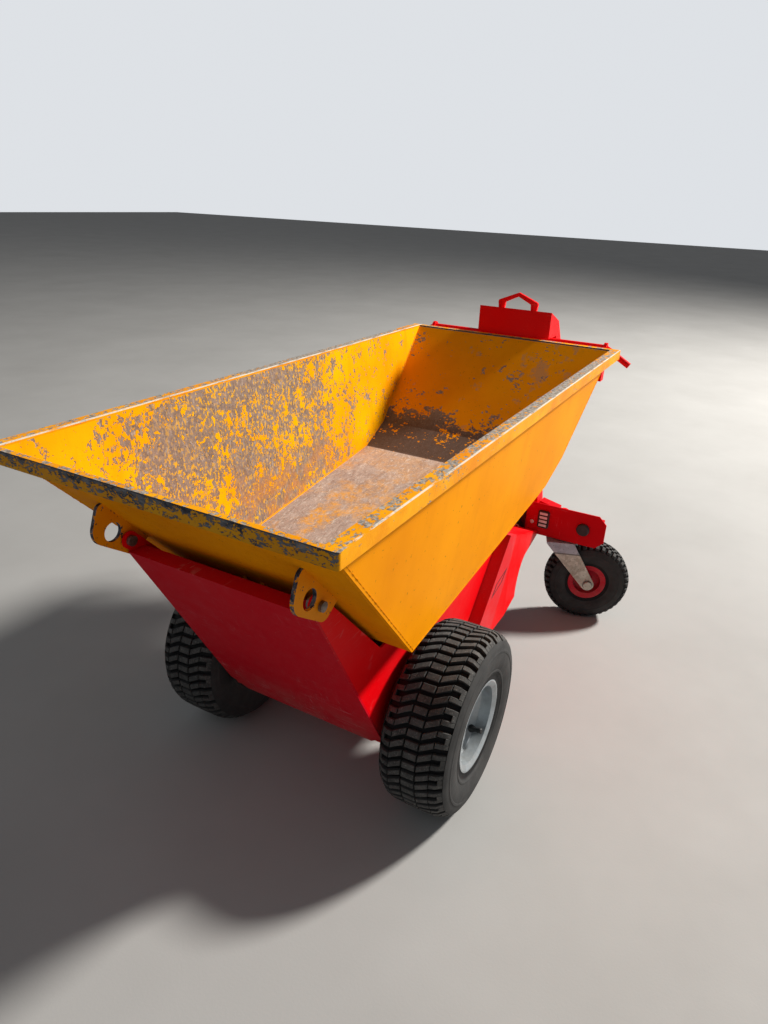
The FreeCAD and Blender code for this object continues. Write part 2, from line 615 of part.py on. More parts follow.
def make_uprights():
    """Two stays that lean together from the beam's ends to the bar, and the console's post."""
    top = "(bar_z - bar_r - seat_play)"
    foot_back = "(panel_x + panel_steel + beam_deep)"
    profile = [("-" + foot_back, "beam_top"),
               ("-(%s - upright_foot_deep)" % foot_back, "beam_top"),
               ("-(bar_x - upright_top_deep / 2)", top),
               ("-(bar_x + upright_top_deep / 2)", top)]
    bars = []
    for side, way in SIDES:
        face = [("upright_low_y - upright_thick / 2", "beam_top"),
                ("upright_low_y + upright_thick / 2", "beam_top"),
                ("upright_high_y + upright_thick / 2", top),
                ("upright_high_y - upright_thick / 2", top)]
        if way < 0:
            face = [("-(%s)" % y, z) for y, z in reversed(face)]
        front = prism("upright_face_" + side, "YZ", face, "console_back")
        shift(front, x="-console_back")
        flank = prism("upright_profile_" + side, "XZ", profile, "2 * bar_end_y", middle=True)
        bars.append(joined("Common", "upright_" + side, (front, flank)))
    keep(joined("MultiFuse", "uprights_solid", bars), "uprights")
    seat = "(bar_z + bar_r)"
    post = [("-" + foot_back, "beam_top"), ("-(%s - post_deep)" % foot_back, "beam_top"),
            ("-(bar_x + post_back)", seat), ("-(bar_x + post_back + post_deep)", seat)]
    keep(prism("console_post_solid", "XZ", post, "2 * post_half", middle=True), "console_post")


def make_console():
    """A folded box on the bar, whose back comes down behind the bar and the post."""
    seat = "bar_z + bar_r"
    skirt = "-(bar_x + post_back + post_deep + seat_play)"
    corners = [("-console_front", seat), ("-console_front", "console_top"),
               ("-console_crest_x", "console_crest_z"), ("-console_back", "console_low"),
               (skirt, "console_low"), (skirt, seat)]
    keep(prism("console_solid", "XZ", corners, "2 * console_half", middle=True), "console")
    low = "(seat_play - (console_top - console_crest_z) * (loop_x - loop_deep / 2 - " \
          "console_front) / (console_crest_x - console_front))"
    corners = [("-loop_half", low), ("-(loop_half - 20)", low),
               ("-(loop_half - 22)", "16"), ("0", "loop_rise - loop_bar", "-4"),
               ("loop_half - 22", "16"), ("loop_half - 20", low), ("loop_half", low),
               ("loop_half - 5", "17", "8"), ("0", "loop_rise - 8", "9"),
               ("-(loop_half - 5)", "17", "8")]
    body = prism("loop_handle_solid", "YZ", corners, "loop_deep")
    keep(body, "loop_handle", x="-(loop_x + loop_deep / 2)", z="console_top")


def make_running_gear():
    axle = turned("drive_axle_solid", [
        ("0", "-(%s + 5)" % WHEEL_Y), ("axle_r", "-(%s + 5)" % WHEEL_Y),
        ("axle_r", "-(chassis_half + bearing_long)"),
        ("bearing_r", "-(chassis_half + bearing_long)"), ("bearing_r", "-chassis_half"),
        ("axle_tube_r", "-chassis_half"), ("axle_tube_r", "chassis_half"),
        ("bearing_r", "chassis_half"), ("bearing_r", "chassis_half + bearing_long"),
        ("axle_r", "chassis_half + bearing_long"), ("axle_r", "%s + 5" % WHEEL_Y),
        ("0", "%s + 5" % WHEEL_Y),
    ])
    keep(axle, "drive_axle", z="tyre_r")
    cases = []
    for side, way in SIDES:
        case = prism("gear_motor_" + side, "XZ",
                     [("0", "0", "gear_r"), ("-motor_back", "motor_rise", "motor_r")],
                     "motor_wide", [("0", "0", "axle_tube_r")], back=way > 0)
        cases.append(shift(case, y="%d * motor_half_gap" % way, z="tyre_r"))
    keep(joined("MultiFuse", "gear_motors_solid", cases), "gear_motors")
    battery = doc.addObject("Part::Box", "battery_solid")
    half = "(chassis_half - plate_steel - battery_side)"
    bind(battery, Length="battery_long", Width="2 * " + half, Height="battery_tall")
    keep(battery, "battery_block", x="-(battery_front + battery_long)", y="-" + half,
         z="belly_z + plate_steel")


def make_front_wheels():
    half, gauge, seat, well = "(rim_wide / 2)", "rim_gauge", "rim_seat_r", "rim_well_r"
    rim = [
        ("rim_flange_r", half), ("%s" % seat, "%s - 7" % half), (seat, "%s - 32" % half),
        (well, "%s - 46" % half), (well, "-(%s - 46)" % half), (seat, "-(%s - 32)" % half),
        (seat, "-(%s - 7)" % half), ("rim_flange_r", "-%s" % half),
        ("rim_flange_r - %s" % gauge, "-%s" % half),
        ("%s - %s" % (seat, gauge), "-(%s - 6)" % half),
        ("%s - %s" % (seat, gauge), "-(%s - 34)" % half),
        ("%s - %s" % (well, gauge), "-(%s - 48)" % half),
        ("%s - %s" % (well, gauge), "-12"), ("hub_nose_r + axle_play", "-12"),
        ("hub_nose_r + axle_play", "-12 + %s" % gauge),
        ("%s - %s" % (well, gauge), "-12 + %s" % gauge),
        ("%s - %s" % (well, gauge), "%s - 48" % half),
        ("%s - %s" % (seat, gauge), "%s - 34" % half),
        ("%s - %s" % (seat, gauge), "%s - 6" % half),
        ("rim_flange_r - %s" % gauge, half),
    ]
    side_r = "(rim_flange_r + 2)"
    tall, shoulder = "(tyre_r - rim_seat_r)", "(tyre_wide / 2)"
    round_r, bulge_r, hollow_r = ["(%s * %s)" % (share, tall) for share in (0.27, 0.11, 0.19)]
    bulge = "(tyre_r - 0.49 * %s)" % tall
    hollow = "(tyre_r - 0.33 * %s)" % tall
    hollow_y = "(%s - 0.30 * %s)" % (shoulder, tall)
    tyre = [
        (seat, "-(%s - 22)" % half), (seat, "-(%s - 8)" % half), (side_r, "-(%s - 1)" % half),
        (bulge, "-(%s - %s)" % (shoulder, bulge_r), bulge_r),
        ("tyre_r - " + round_r, "-(%s - %s)" % (shoulder, round_r), round_r),
        ("tyre_r - " + round_r, "%s - %s" % (shoulder, round_r), round_r),
        (bulge, "%s - %s" % (shoulder, bulge_r), bulge_r), (side_r, "%s - 1" % half),
        (seat, "%s - 8" % half), (seat, "%s - 22" % half), (side_r, "%s - 20" % half),
        (hollow, hollow_y, "-" + hollow_r), (hollow, "-" + hollow_y, "-" + hollow_r),
        (side_r, "-(%s - 20)" % half),
    ]
    hub = [
        ("axle_r + axle_play", "-(12 + hub_long)"), ("hub_barrel_r", "-(12 + hub_long)"),
        ("hub_barrel_r", "-26"), ("hub_r", "-26"), ("hub_r", "-12"), ("hub_nose_r", "-12"),
        ("hub_nose_r", "12"), ("0", "12"), ("0", "5 + axle_play"),
        ("axle_r + axle_play", "5 + axle_play"),
    ]
    for side, way in SIDES:
        for label, corners in (("tyre_", tyre), ("wheel_rim_", list(reversed(rim))),
                               ("wheel_hub_", hub)):
            keep(turned(label + "solid_" + side, corners), label + side,
                 y="%d * %s" % (way, WHEEL_Y), z="tyre_r", turn=0 if way > 0 else "180")


def make_castors():
    half, well = "(castor_wide / 2)", "castor_well_r"
    rim = [
        ("castor_bolt_r + castor_play", "-%s + 8" % half), ("castor_hub_r", "-%s + 8" % half),
        ("castor_hub_r", "-5"), ("%s - 3" % well, "-5"), ("%s - 3" % well, "-%s + 14" % half),
        ("castor_rim_r - 3", "-%s + 10" % half), ("castor_rim_r", "-%s + 10" % half),
        (well, "-%s + 18" % half), (well, "%s - 18" % half), ("castor_rim_r", "%s - 10" % half),
        ("castor_rim_r - 3", "%s - 10" % half), ("%s - 3" % well, "%s - 14" % half),
        ("%s - 3" % well, "5"), ("castor_hub_r", "5"), ("castor_hub_r", "%s - 8" % half),
        ("castor_bolt_r + castor_play", "%s - 8" % half),
    ]
    tyre = [
        (well, "-(%s - 32)" % half), (well, "-(%s - 18)" % half),
        ("castor_rim_r", "-(%s - 10)" % half), ("castor_r - 50", "-(%s - 16)" % half, "16"),
        ("castor_r - 26", "-(%s - 26)" % half, "26"),
        ("castor_r - 26", "%s - 26" % half, "26"), ("castor_r - 50", "%s - 16" % half, "16"),
        ("castor_rim_r", "%s - 10" % half), (well, "%s - 18" % half), (well, "%s - 32" % half),
        ("castor_rim_r + 8", "%s - 24" % half), ("castor_r - 30", "%s - 28" % half, "-16"),
        ("castor_r - 30", "-(%s - 28)" % half, "-16"),
        ("castor_rim_r + 8", "-(%s - 24)" % half),
    ]
    arm = [
        ("castor_trail", "castor_r", "fork_end_r"),
        ("fork_top_wide / 2", "fork_top_z - fork_steel"), ("fork_top_wide / 2", "fork_top_z"),
        ("-fork_top_wide / 2", "fork_top_z"), ("-fork_top_wide / 2", "fork_top_z - fork_steel"),
    ]
    for side, way in SIDES:
        turn = "%d * castor_turn" % way
        swivel_y = "%d * castor_y" % way
        hub_x = "-castor_x + castor_trail * cos(castor_turn)"
        hub_y = "%s + %d * castor_trail * sin(castor_turn)" % (swivel_y, way)
        for label, corners in (("castor_rim_", rim), ("castor_tyre_", tyre)):
            keep(turned(label + "solid_" + side, corners), label + side, x=hub_x, y=hub_y,
                 z="castor_r", turn=turn)
        arms = prism("fork_arm_a_" + side, "XZ", arm, "fork_steel")
        shift(arms, y="-fork_half")
        other = prism("fork_arm_b_" + side, "XZ", arm, "fork_steel", back=True)
        shift(other, y="fork_half")
        crown = prism("fork_crown_" + side, "XY",
                      [("-fork_top_wide / 2", "-fork_half"), ("fork_top_wide / 2", "-fork_half"),
                       ("fork_top_wide / 2", "fork_half"), ("-fork_top_wide / 2", "fork_half")],
                      "fork_steel")
        shift(crown, z="fork_top_z - fork_steel")
        race = doc.addObject("Part::Cylinder", "fork_race_" + side)
        bind(race, Radius="race_r", Height="beam_low - race_gap - fork_top_z")
        shift(race, z="fork_top_z")
        stem = doc.addObject("Part::Cylinder", "fork_stem_" + side)
        bind(stem, Radius="stem_r", Height="beam_top - fork_top_z")
        shift(stem, z="fork_top_z")
        bolt = turned("fork_bolt_" + side, [
            ("0", "-(fork_half + fork_steel + 9)"), ("14", "-(fork_half + fork_steel + 9)"),
            ("14", "-(fork_half + fork_steel)"), ("castor_bolt_r", "-(fork_half + fork_steel)"),
            ("castor_bolt_r", "fork_half + fork_steel"), ("14", "fork_half + fork_steel"),
            ("14", "fork_half + fork_steel + 9"), ("0", "fork_half + fork_steel + 9"),
        ])
        shift(bolt, x="castor_trail", z="castor_r")
        fork = joined("MultiFuse", "castor_fork_solid_" + side,
                      [arms, other, crown, race, stem, bolt])
        keep(fork, "castor_fork_" + side, x="-castor_x", y=swivel_y, turn=turn)


RAM_RUN = "(ram_eye_x + ram_foot_x)"
RAM_RISE = "(ram_eye_z - ram_foot_z)"
RAM_LONG = "sqrt(%s^2 + %s^2)" % (RAM_RUN, RAM_RISE)
RAM_TILT = "90 deg - atan2(%s; %s)" % (RAM_RISE, RAM_RUN)


def rod(name, radius, low, high):
    piece = doc.addObject("Part::Cylinder", name)
    bind(piece, Radius=radius, Height="(%s) - (%s)" % (high, low))
    return shift(piece, z=low)


def cross_rod(name, radius, wide, z="0"):
    """A cylinder along Y, centred on the ram's own axis."""
    piece = doc.addObject("Part::Cylinder", name)
    bind(piece, Radius=radius, Height=wide)
    piece.Placement.Rotation = FreeCAD.Rotation(FreeCAD.Vector(1, 0, 0), -90)
    return shift(piece, y="-(%s) / 2" % wide, z=z)


def lay_ram(thing, label):
    thing.Placement = FreeCAD.Placement(FreeCAD.Vector(), FreeCAD.Rotation(
        FreeCAD.Vector(0, 1, 0), 45))
    keep(thing, label, x="-ram_foot_x", z="ram_foot_z", turn=RAM_TILT)


def make_ram():
    """The barrel turns about its foot; the rod slides in it and carries the upper eye."""
    shell = joined("MultiFuse", "ram_shell", [
        cross_rod("ram_foot_eye", "ram_eye_r", "ram_eye_wide"),
        rod("ram_neck", "ram_rod_r", "ram_eye_r - 6", "ram_eye_r + 12"),
        rod("ram_tube", "ram_body_r", "ram_eye_r + 10", RAM_LONG + " - ram_head_gap"),
    ])
    bores = joined("MultiFuse", "ram_bores", [
        cross_rod("ram_foot_bore", "ram_pin_r + ram_play", "2 * ram_eye_wide"),
        rod("ram_tube_bore", "ram_rod_r + ram_play", "ram_tail - 10",
            RAM_LONG + " - ram_head_gap + 1"),
    ])
    lay_ram(joined("Cut", "ram_barrel_solid", (shell, bores)), "ram_barrel")
    lay_ram(joined("MultiFuse", "ram_rod_solid", [
        rod("ram_rod_bar", "ram_rod_r", "ram_tail", RAM_LONG),
        cross_rod("ram_upper_eye", "ram_eye_r", "ram_eye_wide", RAM_LONG),
        cross_rod("ram_upper_pin", "ram_pin_r", "ram_eye_wide + 2 * (ram_gap - 2)", RAM_LONG),
    ]), "ram_rod")
    ear = [("-(ram_foot_x + 42)", "belly_z + plate_steel"),
           ("-(ram_foot_x - 42)", "belly_z + plate_steel"),
           ("-ram_foot_x", "ram_foot_z", "ram_bracket_r")]
    pieces = []
    for side, way in SIDES:
        plate = prism("ram_bracket_" + side, "XZ", ear, "lug_steel", back=way > 0)
        pieces.append(shift(plate, y="%d * (ram_eye_wide / 2 + ram_gap)" % way))
    pin = cross_rod("ram_foot_pin", "ram_pin_r",
                    "ram_eye_wide + 2 * (ram_gap + lug_steel) + 16", "ram_foot_z")
    bind(pin, Placement__Base__x="-ram_foot_x")
    keep(joined("MultiFuse", "ram_bracket_solid", pieces + [pin]), "ram_bracket")


def make_pivot_bolts():
    inside = "chassis_half - plate_steel"
    ear_in = "chassis_half + ear_gap"
    ear_out = "chassis_half + ear_gap + ear_steel"
    outline = [
        ("0", inside + " - bolt_nut"), ("bolt_head_r + 1", inside + " - bolt_nut"),
        ("bolt_head_r + 1", inside), ("pivot_bolt_r", inside),
        ("pivot_bolt_r", "chassis_half"), ("bolt_head_r + 2", "chassis_half"),
        ("bolt_head_r + 2", ear_in + " - pivot_play"), ("pivot_bolt_r", ear_in + " - pivot_play"),
        ("pivot_bolt_r", ear_out + " + pivot_play"), ("bolt_head_r", ear_out + " + pivot_play"),
        ("bolt_head_r", ear_out + " + pivot_play + bolt_head"),
        ("0", ear_out + " + pivot_play + bolt_head"),
    ]
    bolts = []
    for side, way in SIDES:
        bolt = turned("pivot_bolt_" + side, outline)
        bolts.append(shift(bolt, x="pivot_x", z="pivot_z", turn=0 if way > 0 else "180"))
    keep(joined("MultiFuse", "pivot_bolts_solid", bolts), "pivot_bolts")


def make_rests():
    """Stops on the side plates' inner faces that the hopper's floor comes down on."""
    back, front = "-(rest_x + rest_long / 2)", "-(rest_x - rest_long / 2)"
    corners = [(back, "rest_low"), (front, "rest_low"),
               (front, "%s - rest_play" % floor_out(front)),
               (back, "%s - rest_play" % floor_out(back))]
    posts = []
    for side, way in SIDES:
        post = prism("rest_" + side, "XZ", corners, "rest_wide", back=way < 0)
        posts.append(shift(post, y="%d * (chassis_half - plate_steel)" % way))
    keep(joined("MultiFuse", "hopper_rests_solid", posts), "hopper_rests")


def finish():
    doc.recompute()
    for thing in doc.Objects:
        if any(flag in thing.State for flag in ("Invalid", "Error")):
            raise RuntimeError("%s: %s" % (thing.Label, thing.State))
    os.makedirs("parts", exist_ok=True)
    for thing in nodes:
        shape = thing.Shape
        if shape.isNull() or not shape.isValid() or shape.Volume <= 0:
            raise RuntimeError("%s has no sound shape" % thing.Label)
        shape.exportStep("parts/%s.step" % thing.Label)
        box = shape.BoundBox
        print("%-22s %2d solids %9.1f cm3  x %7.1f %7.1f  y %7.1f %7.1f  z %7.1f %7.1f" % (
            thing.Label, len(shape.Solids), shape.Volume / 1000, box.XMin, box.XMax,
            box.YMin, box.YMax, box.ZMin, box.ZMax))


fill_sheet()
make_hopper()
make_rim()
make_ears()
make_lugs()
make_side_plates()
make_front_plate()
make_belly_and_cover()
make_housings()
make_rear_beam()
make_controls()
make_handles()
make_uprights()
make_console()
make_running_gear()
make_front_wheels()
make_castors()
make_ram()
make_pivot_bolts()
make_rests()
finish()
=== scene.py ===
import json
import math
import random

import bmesh
import bpy
from mathutils import Matrix, Vector


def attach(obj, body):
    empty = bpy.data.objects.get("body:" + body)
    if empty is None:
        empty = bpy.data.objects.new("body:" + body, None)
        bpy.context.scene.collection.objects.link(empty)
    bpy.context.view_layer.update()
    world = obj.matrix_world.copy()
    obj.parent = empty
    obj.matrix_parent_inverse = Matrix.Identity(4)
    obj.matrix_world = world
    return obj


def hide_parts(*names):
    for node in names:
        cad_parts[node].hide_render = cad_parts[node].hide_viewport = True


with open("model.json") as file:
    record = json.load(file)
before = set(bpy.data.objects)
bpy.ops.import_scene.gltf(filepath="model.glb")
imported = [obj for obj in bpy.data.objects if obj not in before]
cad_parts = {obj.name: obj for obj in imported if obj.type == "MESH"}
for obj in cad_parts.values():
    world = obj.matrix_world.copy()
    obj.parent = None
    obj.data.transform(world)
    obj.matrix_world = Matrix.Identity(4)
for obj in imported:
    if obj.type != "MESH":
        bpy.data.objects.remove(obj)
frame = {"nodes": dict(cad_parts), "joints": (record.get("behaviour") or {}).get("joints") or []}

random.seed(11)
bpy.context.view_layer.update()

# Sizes in metres, in the row frame. The wheels' places come from the record's joints.
JOINTS = {joint["name"]: joint for joint in frame["joints"]}
SIDES = (("left", 1), ("right", -1))
AXLE = Vector(JOINTS["wheel_left_spin"]["pos_m"])
TYRE_R = AXLE.z
CASTOR_R = JOINTS["castor_left_roll"]["pos_m"][2]
# the hopper's rim, and (x, z) corners of its inside seen from the side
RIM_TOP = 0.946
RIM_LOW = 0.918
RIM_EDGE_Y = 0.375
RIM_LIP = 0.030
SEAM_TOP = 0.916
FLOOR_HALF = 0.296
FLOOR_FRONT = (0.522, 0.517)
FLOOR_BACK = (-0.313, 0.610)
BEND = (-0.434, 0.665)
BACK_TOP = (-0.746, RIM_TOP)
FRONT_TOP = (0.922, RIM_TOP)
WELD_R = 0.0052
WELD_STEP = 0.006
# front wheels: nuts on the hub, and the valve, seen from the axle
NUT_COUNT = 5
NUT_CIRCLE_R = 0.042
NUT_FIRST_DEG = 20
NUT_SEAT_IN = 0.008
NUT_ACROSS = 0.018
NUT_LONG = 0.011
VALVE_X = -0.0590
VALVE_Y = 0.3625
VALVE_Z = -0.0700
# castors: the washers' distance from the wheel's middle, and the fork's dark line
WASHER_OUT = 0.0535
FORK_LINE_Z = 0.258
# the rear panel's face, its switches and its gauge, with (y, z) corners
PANEL_FACE_X = -0.614
SWITCH_FACE_X = PANEL_FACE_X + 0.0192
SWITCH_Y = 0.156
SWITCH_HEIGHTS = (0.3225, 0.3650)
GAUGE_LOW = (0.2226, 0.3330)
GAUGE_HIGH = (0.2620, 0.3985)
GAUGE_ROUND = 0.008
BAR_SIDES = (0.2285, 0.2560)
BAR_COUNT = 4
BAR_FIRST_Z = 0.3395
BAR_PITCH = 0.0145
BAR_HIGH = 0.0088
# the rear housings' side, the (x, z) corners of the slot in it, and its fold,
# which runs where x + FOLD_SLOPE * z = FOLD_X
HOUSING_Y = 0.260
SLOT_CORNERS = ((-0.083, 0.321), (-0.113, 0.352), (-0.199, 0.370), (-0.160, 0.338))
FOLD_SLOPE = 0.670
FOLD_X = 0.0285
FLOOR_REACH = 30


def side_inner(z):
    """Half width of the hopper inside, at height z."""
    spread = (RIM_EDGE_Y - RIM_LIP - FLOOR_HALF) / (RIM_TOP - FLOOR_FRONT[1])
    return FLOOR_HALF + (z - FLOOR_FRONT[1]) * spread


def on_line(low, high, z):
    """x at height z on the straight wall between two (x, z) points."""
    return low[0] + (z - low[1]) * (high[0] - low[0]) / (high[1] - low[1])


# Camera, light and floor
def aim(obj, target):
    obj.rotation_euler = (Vector(target) - obj.location).to_track_quat("-Z", "Y").to_euler()


def make_camera():
    """The photograph's camera, as it was solved from the picture."""
    yaw, pitch, roll = -2.64963213, 0.422547445, -0.0426454982
    ahead = Vector((math.cos(yaw) * math.cos(pitch), math.sin(yaw) * math.cos(pitch),
                    -math.sin(pitch)))
    right = ahead.cross(Vector((0, 0, 1))).normalized()
    down = ahead.cross(right)
    across = math.cos(roll) * right + math.sin(roll) * down
    fall = -math.sin(roll) * right + math.cos(roll) * down
    data = bpy.data.cameras.new("camera")
    data.sensor_width = 36
    data.lens = 24.868
    data.clip_end = 60
    camera = bpy.data.objects.new("camera", data)
    bpy.context.scene.collection.objects.link(camera)
    turn = Matrix((across, -fall, -ahead)).transposed().to_4x4()
    camera.matrix_world = Matrix.Translation((1.63266, 0.81407, 1.37874)) @ turn
    bpy.context.scene.camera = camera


def area_light(name, place, size, power, colour):
    data = bpy.data.lights.new(name, "AREA")
    data.shape = "DISK"
    data.size = size
    data.energy = power
    data.color = colour
    light = bpy.data.objects.new(name, data)
    bpy.context.scene.collection.objects.link(light)
    light.location = place
    aim(light, (0, 0, 0.5))


def make_lights():
    """A sun-like key from behind on the left, a weak fill from the front, a pale backdrop."""
    area_light("key", (-6.2, 4.8, 6.2), 1.3, 1800, (1.0, 0.965, 0.91))
    area_light("fill", (3.4, -1.2, 3.4), 3.5, 12, (0.90, 0.94, 1.0))
    world = bpy.data.worlds.new("world")
    world.use_nodes = True
    tree = world.node_tree
    sky = tree.nodes["Background"]
    sky.inputs["Color"].default_value = (0.86, 0.89, 0.93, 1)
    # the backdrop looks pale, and lights the object less
    path = tree.nodes.new("ShaderNodeLightPath")
    power = tree.nodes.new("ShaderNodeMapRange")
    power.inputs["To Min"].default_value = 0.21
    power.inputs["To Max"].default_value = 0.85
    tree.links.new(path.outputs["Is Camera Ray"], power.inputs["Value"])
    tree.links.new(power.outputs["Result"], sky.inputs["Strength"])
    bpy.context.scene.world = world
    bpy.context.scene.view_settings.view_transform = "Standard"


# Materials
class Paint:
    """A material's node tree with short calls for the nodes used here."""

    def __init__(self, name, **constants):
        self.material = bpy.data.materials.new(name)
        self.material.use_nodes = True
        self.tree = self.material.node_tree
        self.shader = self.tree.nodes["Principled BSDF"]
        for key, value in constants.items():
            self.shader.inputs[key.replace("_", " ")].default_value = value
        self.place = self.node("ShaderNodeTexCoord")
        self.spot = self.place.outputs["Object"]
        self.axes = None

    def node(self, kind, **settings):
        node = self.tree.nodes.new(kind)
        for key, value in settings.items():
            setattr(node, key, value)
        return node

    def put(self, socket, value):
        if isinstance(value, bpy.types.NodeSocket):
            self.tree.links.new(value, socket)
        elif isinstance(value, tuple) and len(value) == 3 and socket.type == "RGBA":
            socket.default_value = (*value, 1)
        else:
            socket.default_value = value

    def stretched(self, scale, turn=(0, 0, 0)):
        node = self.node("ShaderNodeMapping")
        self.put(node.inputs["Vector"], self.spot)
        node.inputs["Scale"].default_value = scale
        node.inputs["Rotation"].default_value = turn
        return node.outputs["Vector"]

    def noise(self, scale, detail=5, rough=0.6, stretch=None, skew=0, turn=(0, 0, 0)):
        node = self.node("ShaderNodeTexNoise")
        self.put(node.inputs["Vector"], self.stretched(stretch, turn) if stretch else self.spot)
        node.inputs["Scale"].default_value = scale
        node.inputs["Detail"].default_value = detail
        node.inputs["Roughness"].default_value = rough
        node.inputs["Distortion"].default_value = skew
        return node.outputs["Fac"]

    def cells(self, scale):
        node = self.node("ShaderNodeTexVoronoi", feature="F1")
        self.put(node.inputs["Vector"], self.spot)
        node.inputs["Scale"].default_value = scale
        grey = self.node("ShaderNodeRGBToBW")
        self.put(grey.inputs[0], node.outputs["Color"])
        return grey.outputs[0]

    def attribute(self, name):
        return self.node("ShaderNodeAttribute", attribute_name=name).outputs["Fac"]

    def axis(self, letter):
        if self.axes is None:
            self.axes = self.node("ShaderNodeSeparateXYZ")
            self.put(self.axes.inputs[0], self.spot)
        return self.axes.outputs[letter]

    def facing(self, letter):
        node = self.node("ShaderNodeSeparateXYZ")
        self.put(node.inputs[0], self.place.outputs["Normal"])
        return node.outputs[letter]

    def ramp(self, value, low, high, start=0.0, end=1.0, smooth=False):
        node = self.node("ShaderNodeMapRange",
                         interpolation_type="SMOOTHSTEP" if smooth else "LINEAR")
        self.put(node.inputs["Value"], value)
        for key, number in (("From Min", low), ("From Max", high), ("To Min", start),
                            ("To Max", end)):
            self.put(node.inputs[key], number)
        return node.outputs["Result"]

    def sum(self, operation, *values):
        node = self.node("ShaderNodeMath", operation=operation)
        for socket, value in zip(node.inputs, values):
            self.put(socket, value)
        return node.outputs[0]

    def add(self, first, *others):
        for other in others:
            first = self.sum("ADD", first, other)
        return first

    def times(self, first, *others):
        for other in others:
            first = self.sum("MULTIPLY", first, other)
        return first

    def near(self, value, place, half):
        """1 within half of place, falling off sharply outside."""
        gap = self.sum("ABSOLUTE", self.sum("SUBTRACT", value, place))
        return self.ramp(gap, half, half * 0.6)

    def mix(self, part, first, second, blend="MIX"):
        node = self.node("ShaderNodeMix", data_type="RGBA", blend_type=blend)
        self.put(node.inputs[0], part)
        self.put(node.inputs[6], first)
        self.put(node.inputs[7], second)
        return node.outputs[2]

    def finish(self, colour, rough, height=None, depth=0.0005):
        self.put(self.shader.inputs["Base Color"], colour)
        self.put(self.shader.inputs["Roughness"], rough)
        if height is not None:
            node = self.node("ShaderNodeBump")
            node.inputs["Distance"].default_value = depth
            self.put(node.inputs["Height"], height)
            self.put(self.shader.inputs["Normal"], node.outputs["Normal"])
        return self.material


YELLOW = (0.90, 0.325, 0.002)
YELLOW_LIGHT = (0.95, 0.475, 0.003)
YELLOW_DEEP = (0.78, 0.255, 0.002)
# dull yellow, painted shade on the rim's front faces
YELLOW_PAINTED_SHADE = (0.42, 0.225, 0.020)
STEEL_BROWN = (0.205, 0.140, 0.105)
STEEL_PINK = (0.330, 0.245, 0.200)
STEEL_PALE = (0.520, 0.440, 0.380)
STEEL_DARK = (0.060, 0.040, 0.028)
RUST = (0.400, 0.125, 0.012)
RED = (0.800, 0.001, 0.004)
RED_FADED = (0.700, 0.040, 0.052)
# specular levels of the red and worn paint, and of the yellow coat
PAINT_GLOSS = 0.06
COAT_GLOSS = 0.015


def chips(paint, share, coarse=15, middle=48, fine=150, stretch=(1, 1, 0.62), edge=0.005):
    """1 where the paint has come off. share, from 0 to 1, is about how much of it has."""
    level = paint.add(paint.times(paint.noise(coarse, 7, 0.66, stretch), 0.38),
                      paint.times(paint.noise(middle, 5, 0.62, stretch), 0.36),
                      paint.times(paint.noise(fine, 3, 0.55, stretch), 0.26))
    limit = paint.ramp(share, 0.0, 1.0, 0.405, 0.595)
    return paint.ramp(paint.sum("SUBTRACT", limit, level), -edge, edge)


def clean_coat(p, light, deep):
    """Yellow paint with soft clouds, faint runs and a few dark flecks."""
    colour = p.mix(p.ramp(p.noise(3.2, 4, 0.55), 0.35, 0.68), light, deep)
    run = p.ramp(p.noise(26, 5, 0.6, (1, 1, 0.08)), 0.52, 0.74, 0, 0.35)
    colour = p.mix(run, colour, (0.72, 0.235, 0.004))
    spots = p.ramp(p.noise(110, 3, 0.5), 0.70, 0.72, 0, 0.6)
    return p.mix(spots, colour, (0.24, 0.10, 0.02))


def yellow_outside(name="yellow_outside"):
    p = Paint(name, Specular_IOR_Level=COAT_GLOSS)
    colour = clean_coat(p, YELLOW, YELLOW_DEEP)
    rare = p.ramp(p.noise(2.5, 3, 0.5), 0.60, 0.80, 0.0, 0.20)
    colour = p.mix(chips(p, rare, 30, 70, 160), colour, STEEL_BROWN)
    return p.finish(colour, p.ramp(p.noise(18, 4), 0.3, 0.7, 0.36, 0.52),
                    p.noise(210, 3, 0.6), 0.00012)


def bare_steel(p):
    """Bare, browned sheet with rust haze and pale, upright scuffs."""
    tone = p.ramp(p.noise(60, 6, 0.72, (1, 1, 0.55)), 0.34, 0.66)
    steel = p.mix(tone, STEEL_BROWN, STEEL_PINK)
    haze = p.ramp(p.noise(5, 4, 0.6), 0.56, 0.74, 0, 0.45)
    steel = p.mix(p.times(haze, p.ramp(p.noise(120, 4), 0.4, 0.6)), steel, RUST)
    pale = p.ramp(p.noise(170, 4, 0.7, (1, 1, 0.35)), 0.55, 0.66, 0, 0.65)
    steel = p.mix(pale, steel, STEEL_PALE)
    return p.mix(p.ramp(p.noise(240, 3, 0.6), 0.60, 0.68, 0, 0.8), steel, STEEL_DARK)


def wear_of_sides(p):
    """How far a side wall's inside is worn: bare in the middle, sound at both ends."""
    x, z = p.axis("X"), p.axis("Z")
    front = p.ramp(x, 0.88, 0.46, smooth=True)
    back = p.ramp(x, -0.52, 0.22, smooth=True)
    middle = p.times(front, back)
    clump = p.ramp(p.noise(7.0, 4, 0.6), 0.36, 0.66, -0.26, 0.26)
    low = p.times(p.ramp(z, 0.80, 0.68), p.ramp(x, 0.20, 0.50), 0.16)
    share = p.add(p.times(middle, 0.66), p.times(middle, clump), 0.13)
    return p.sum("SUBTRACT", share, low)


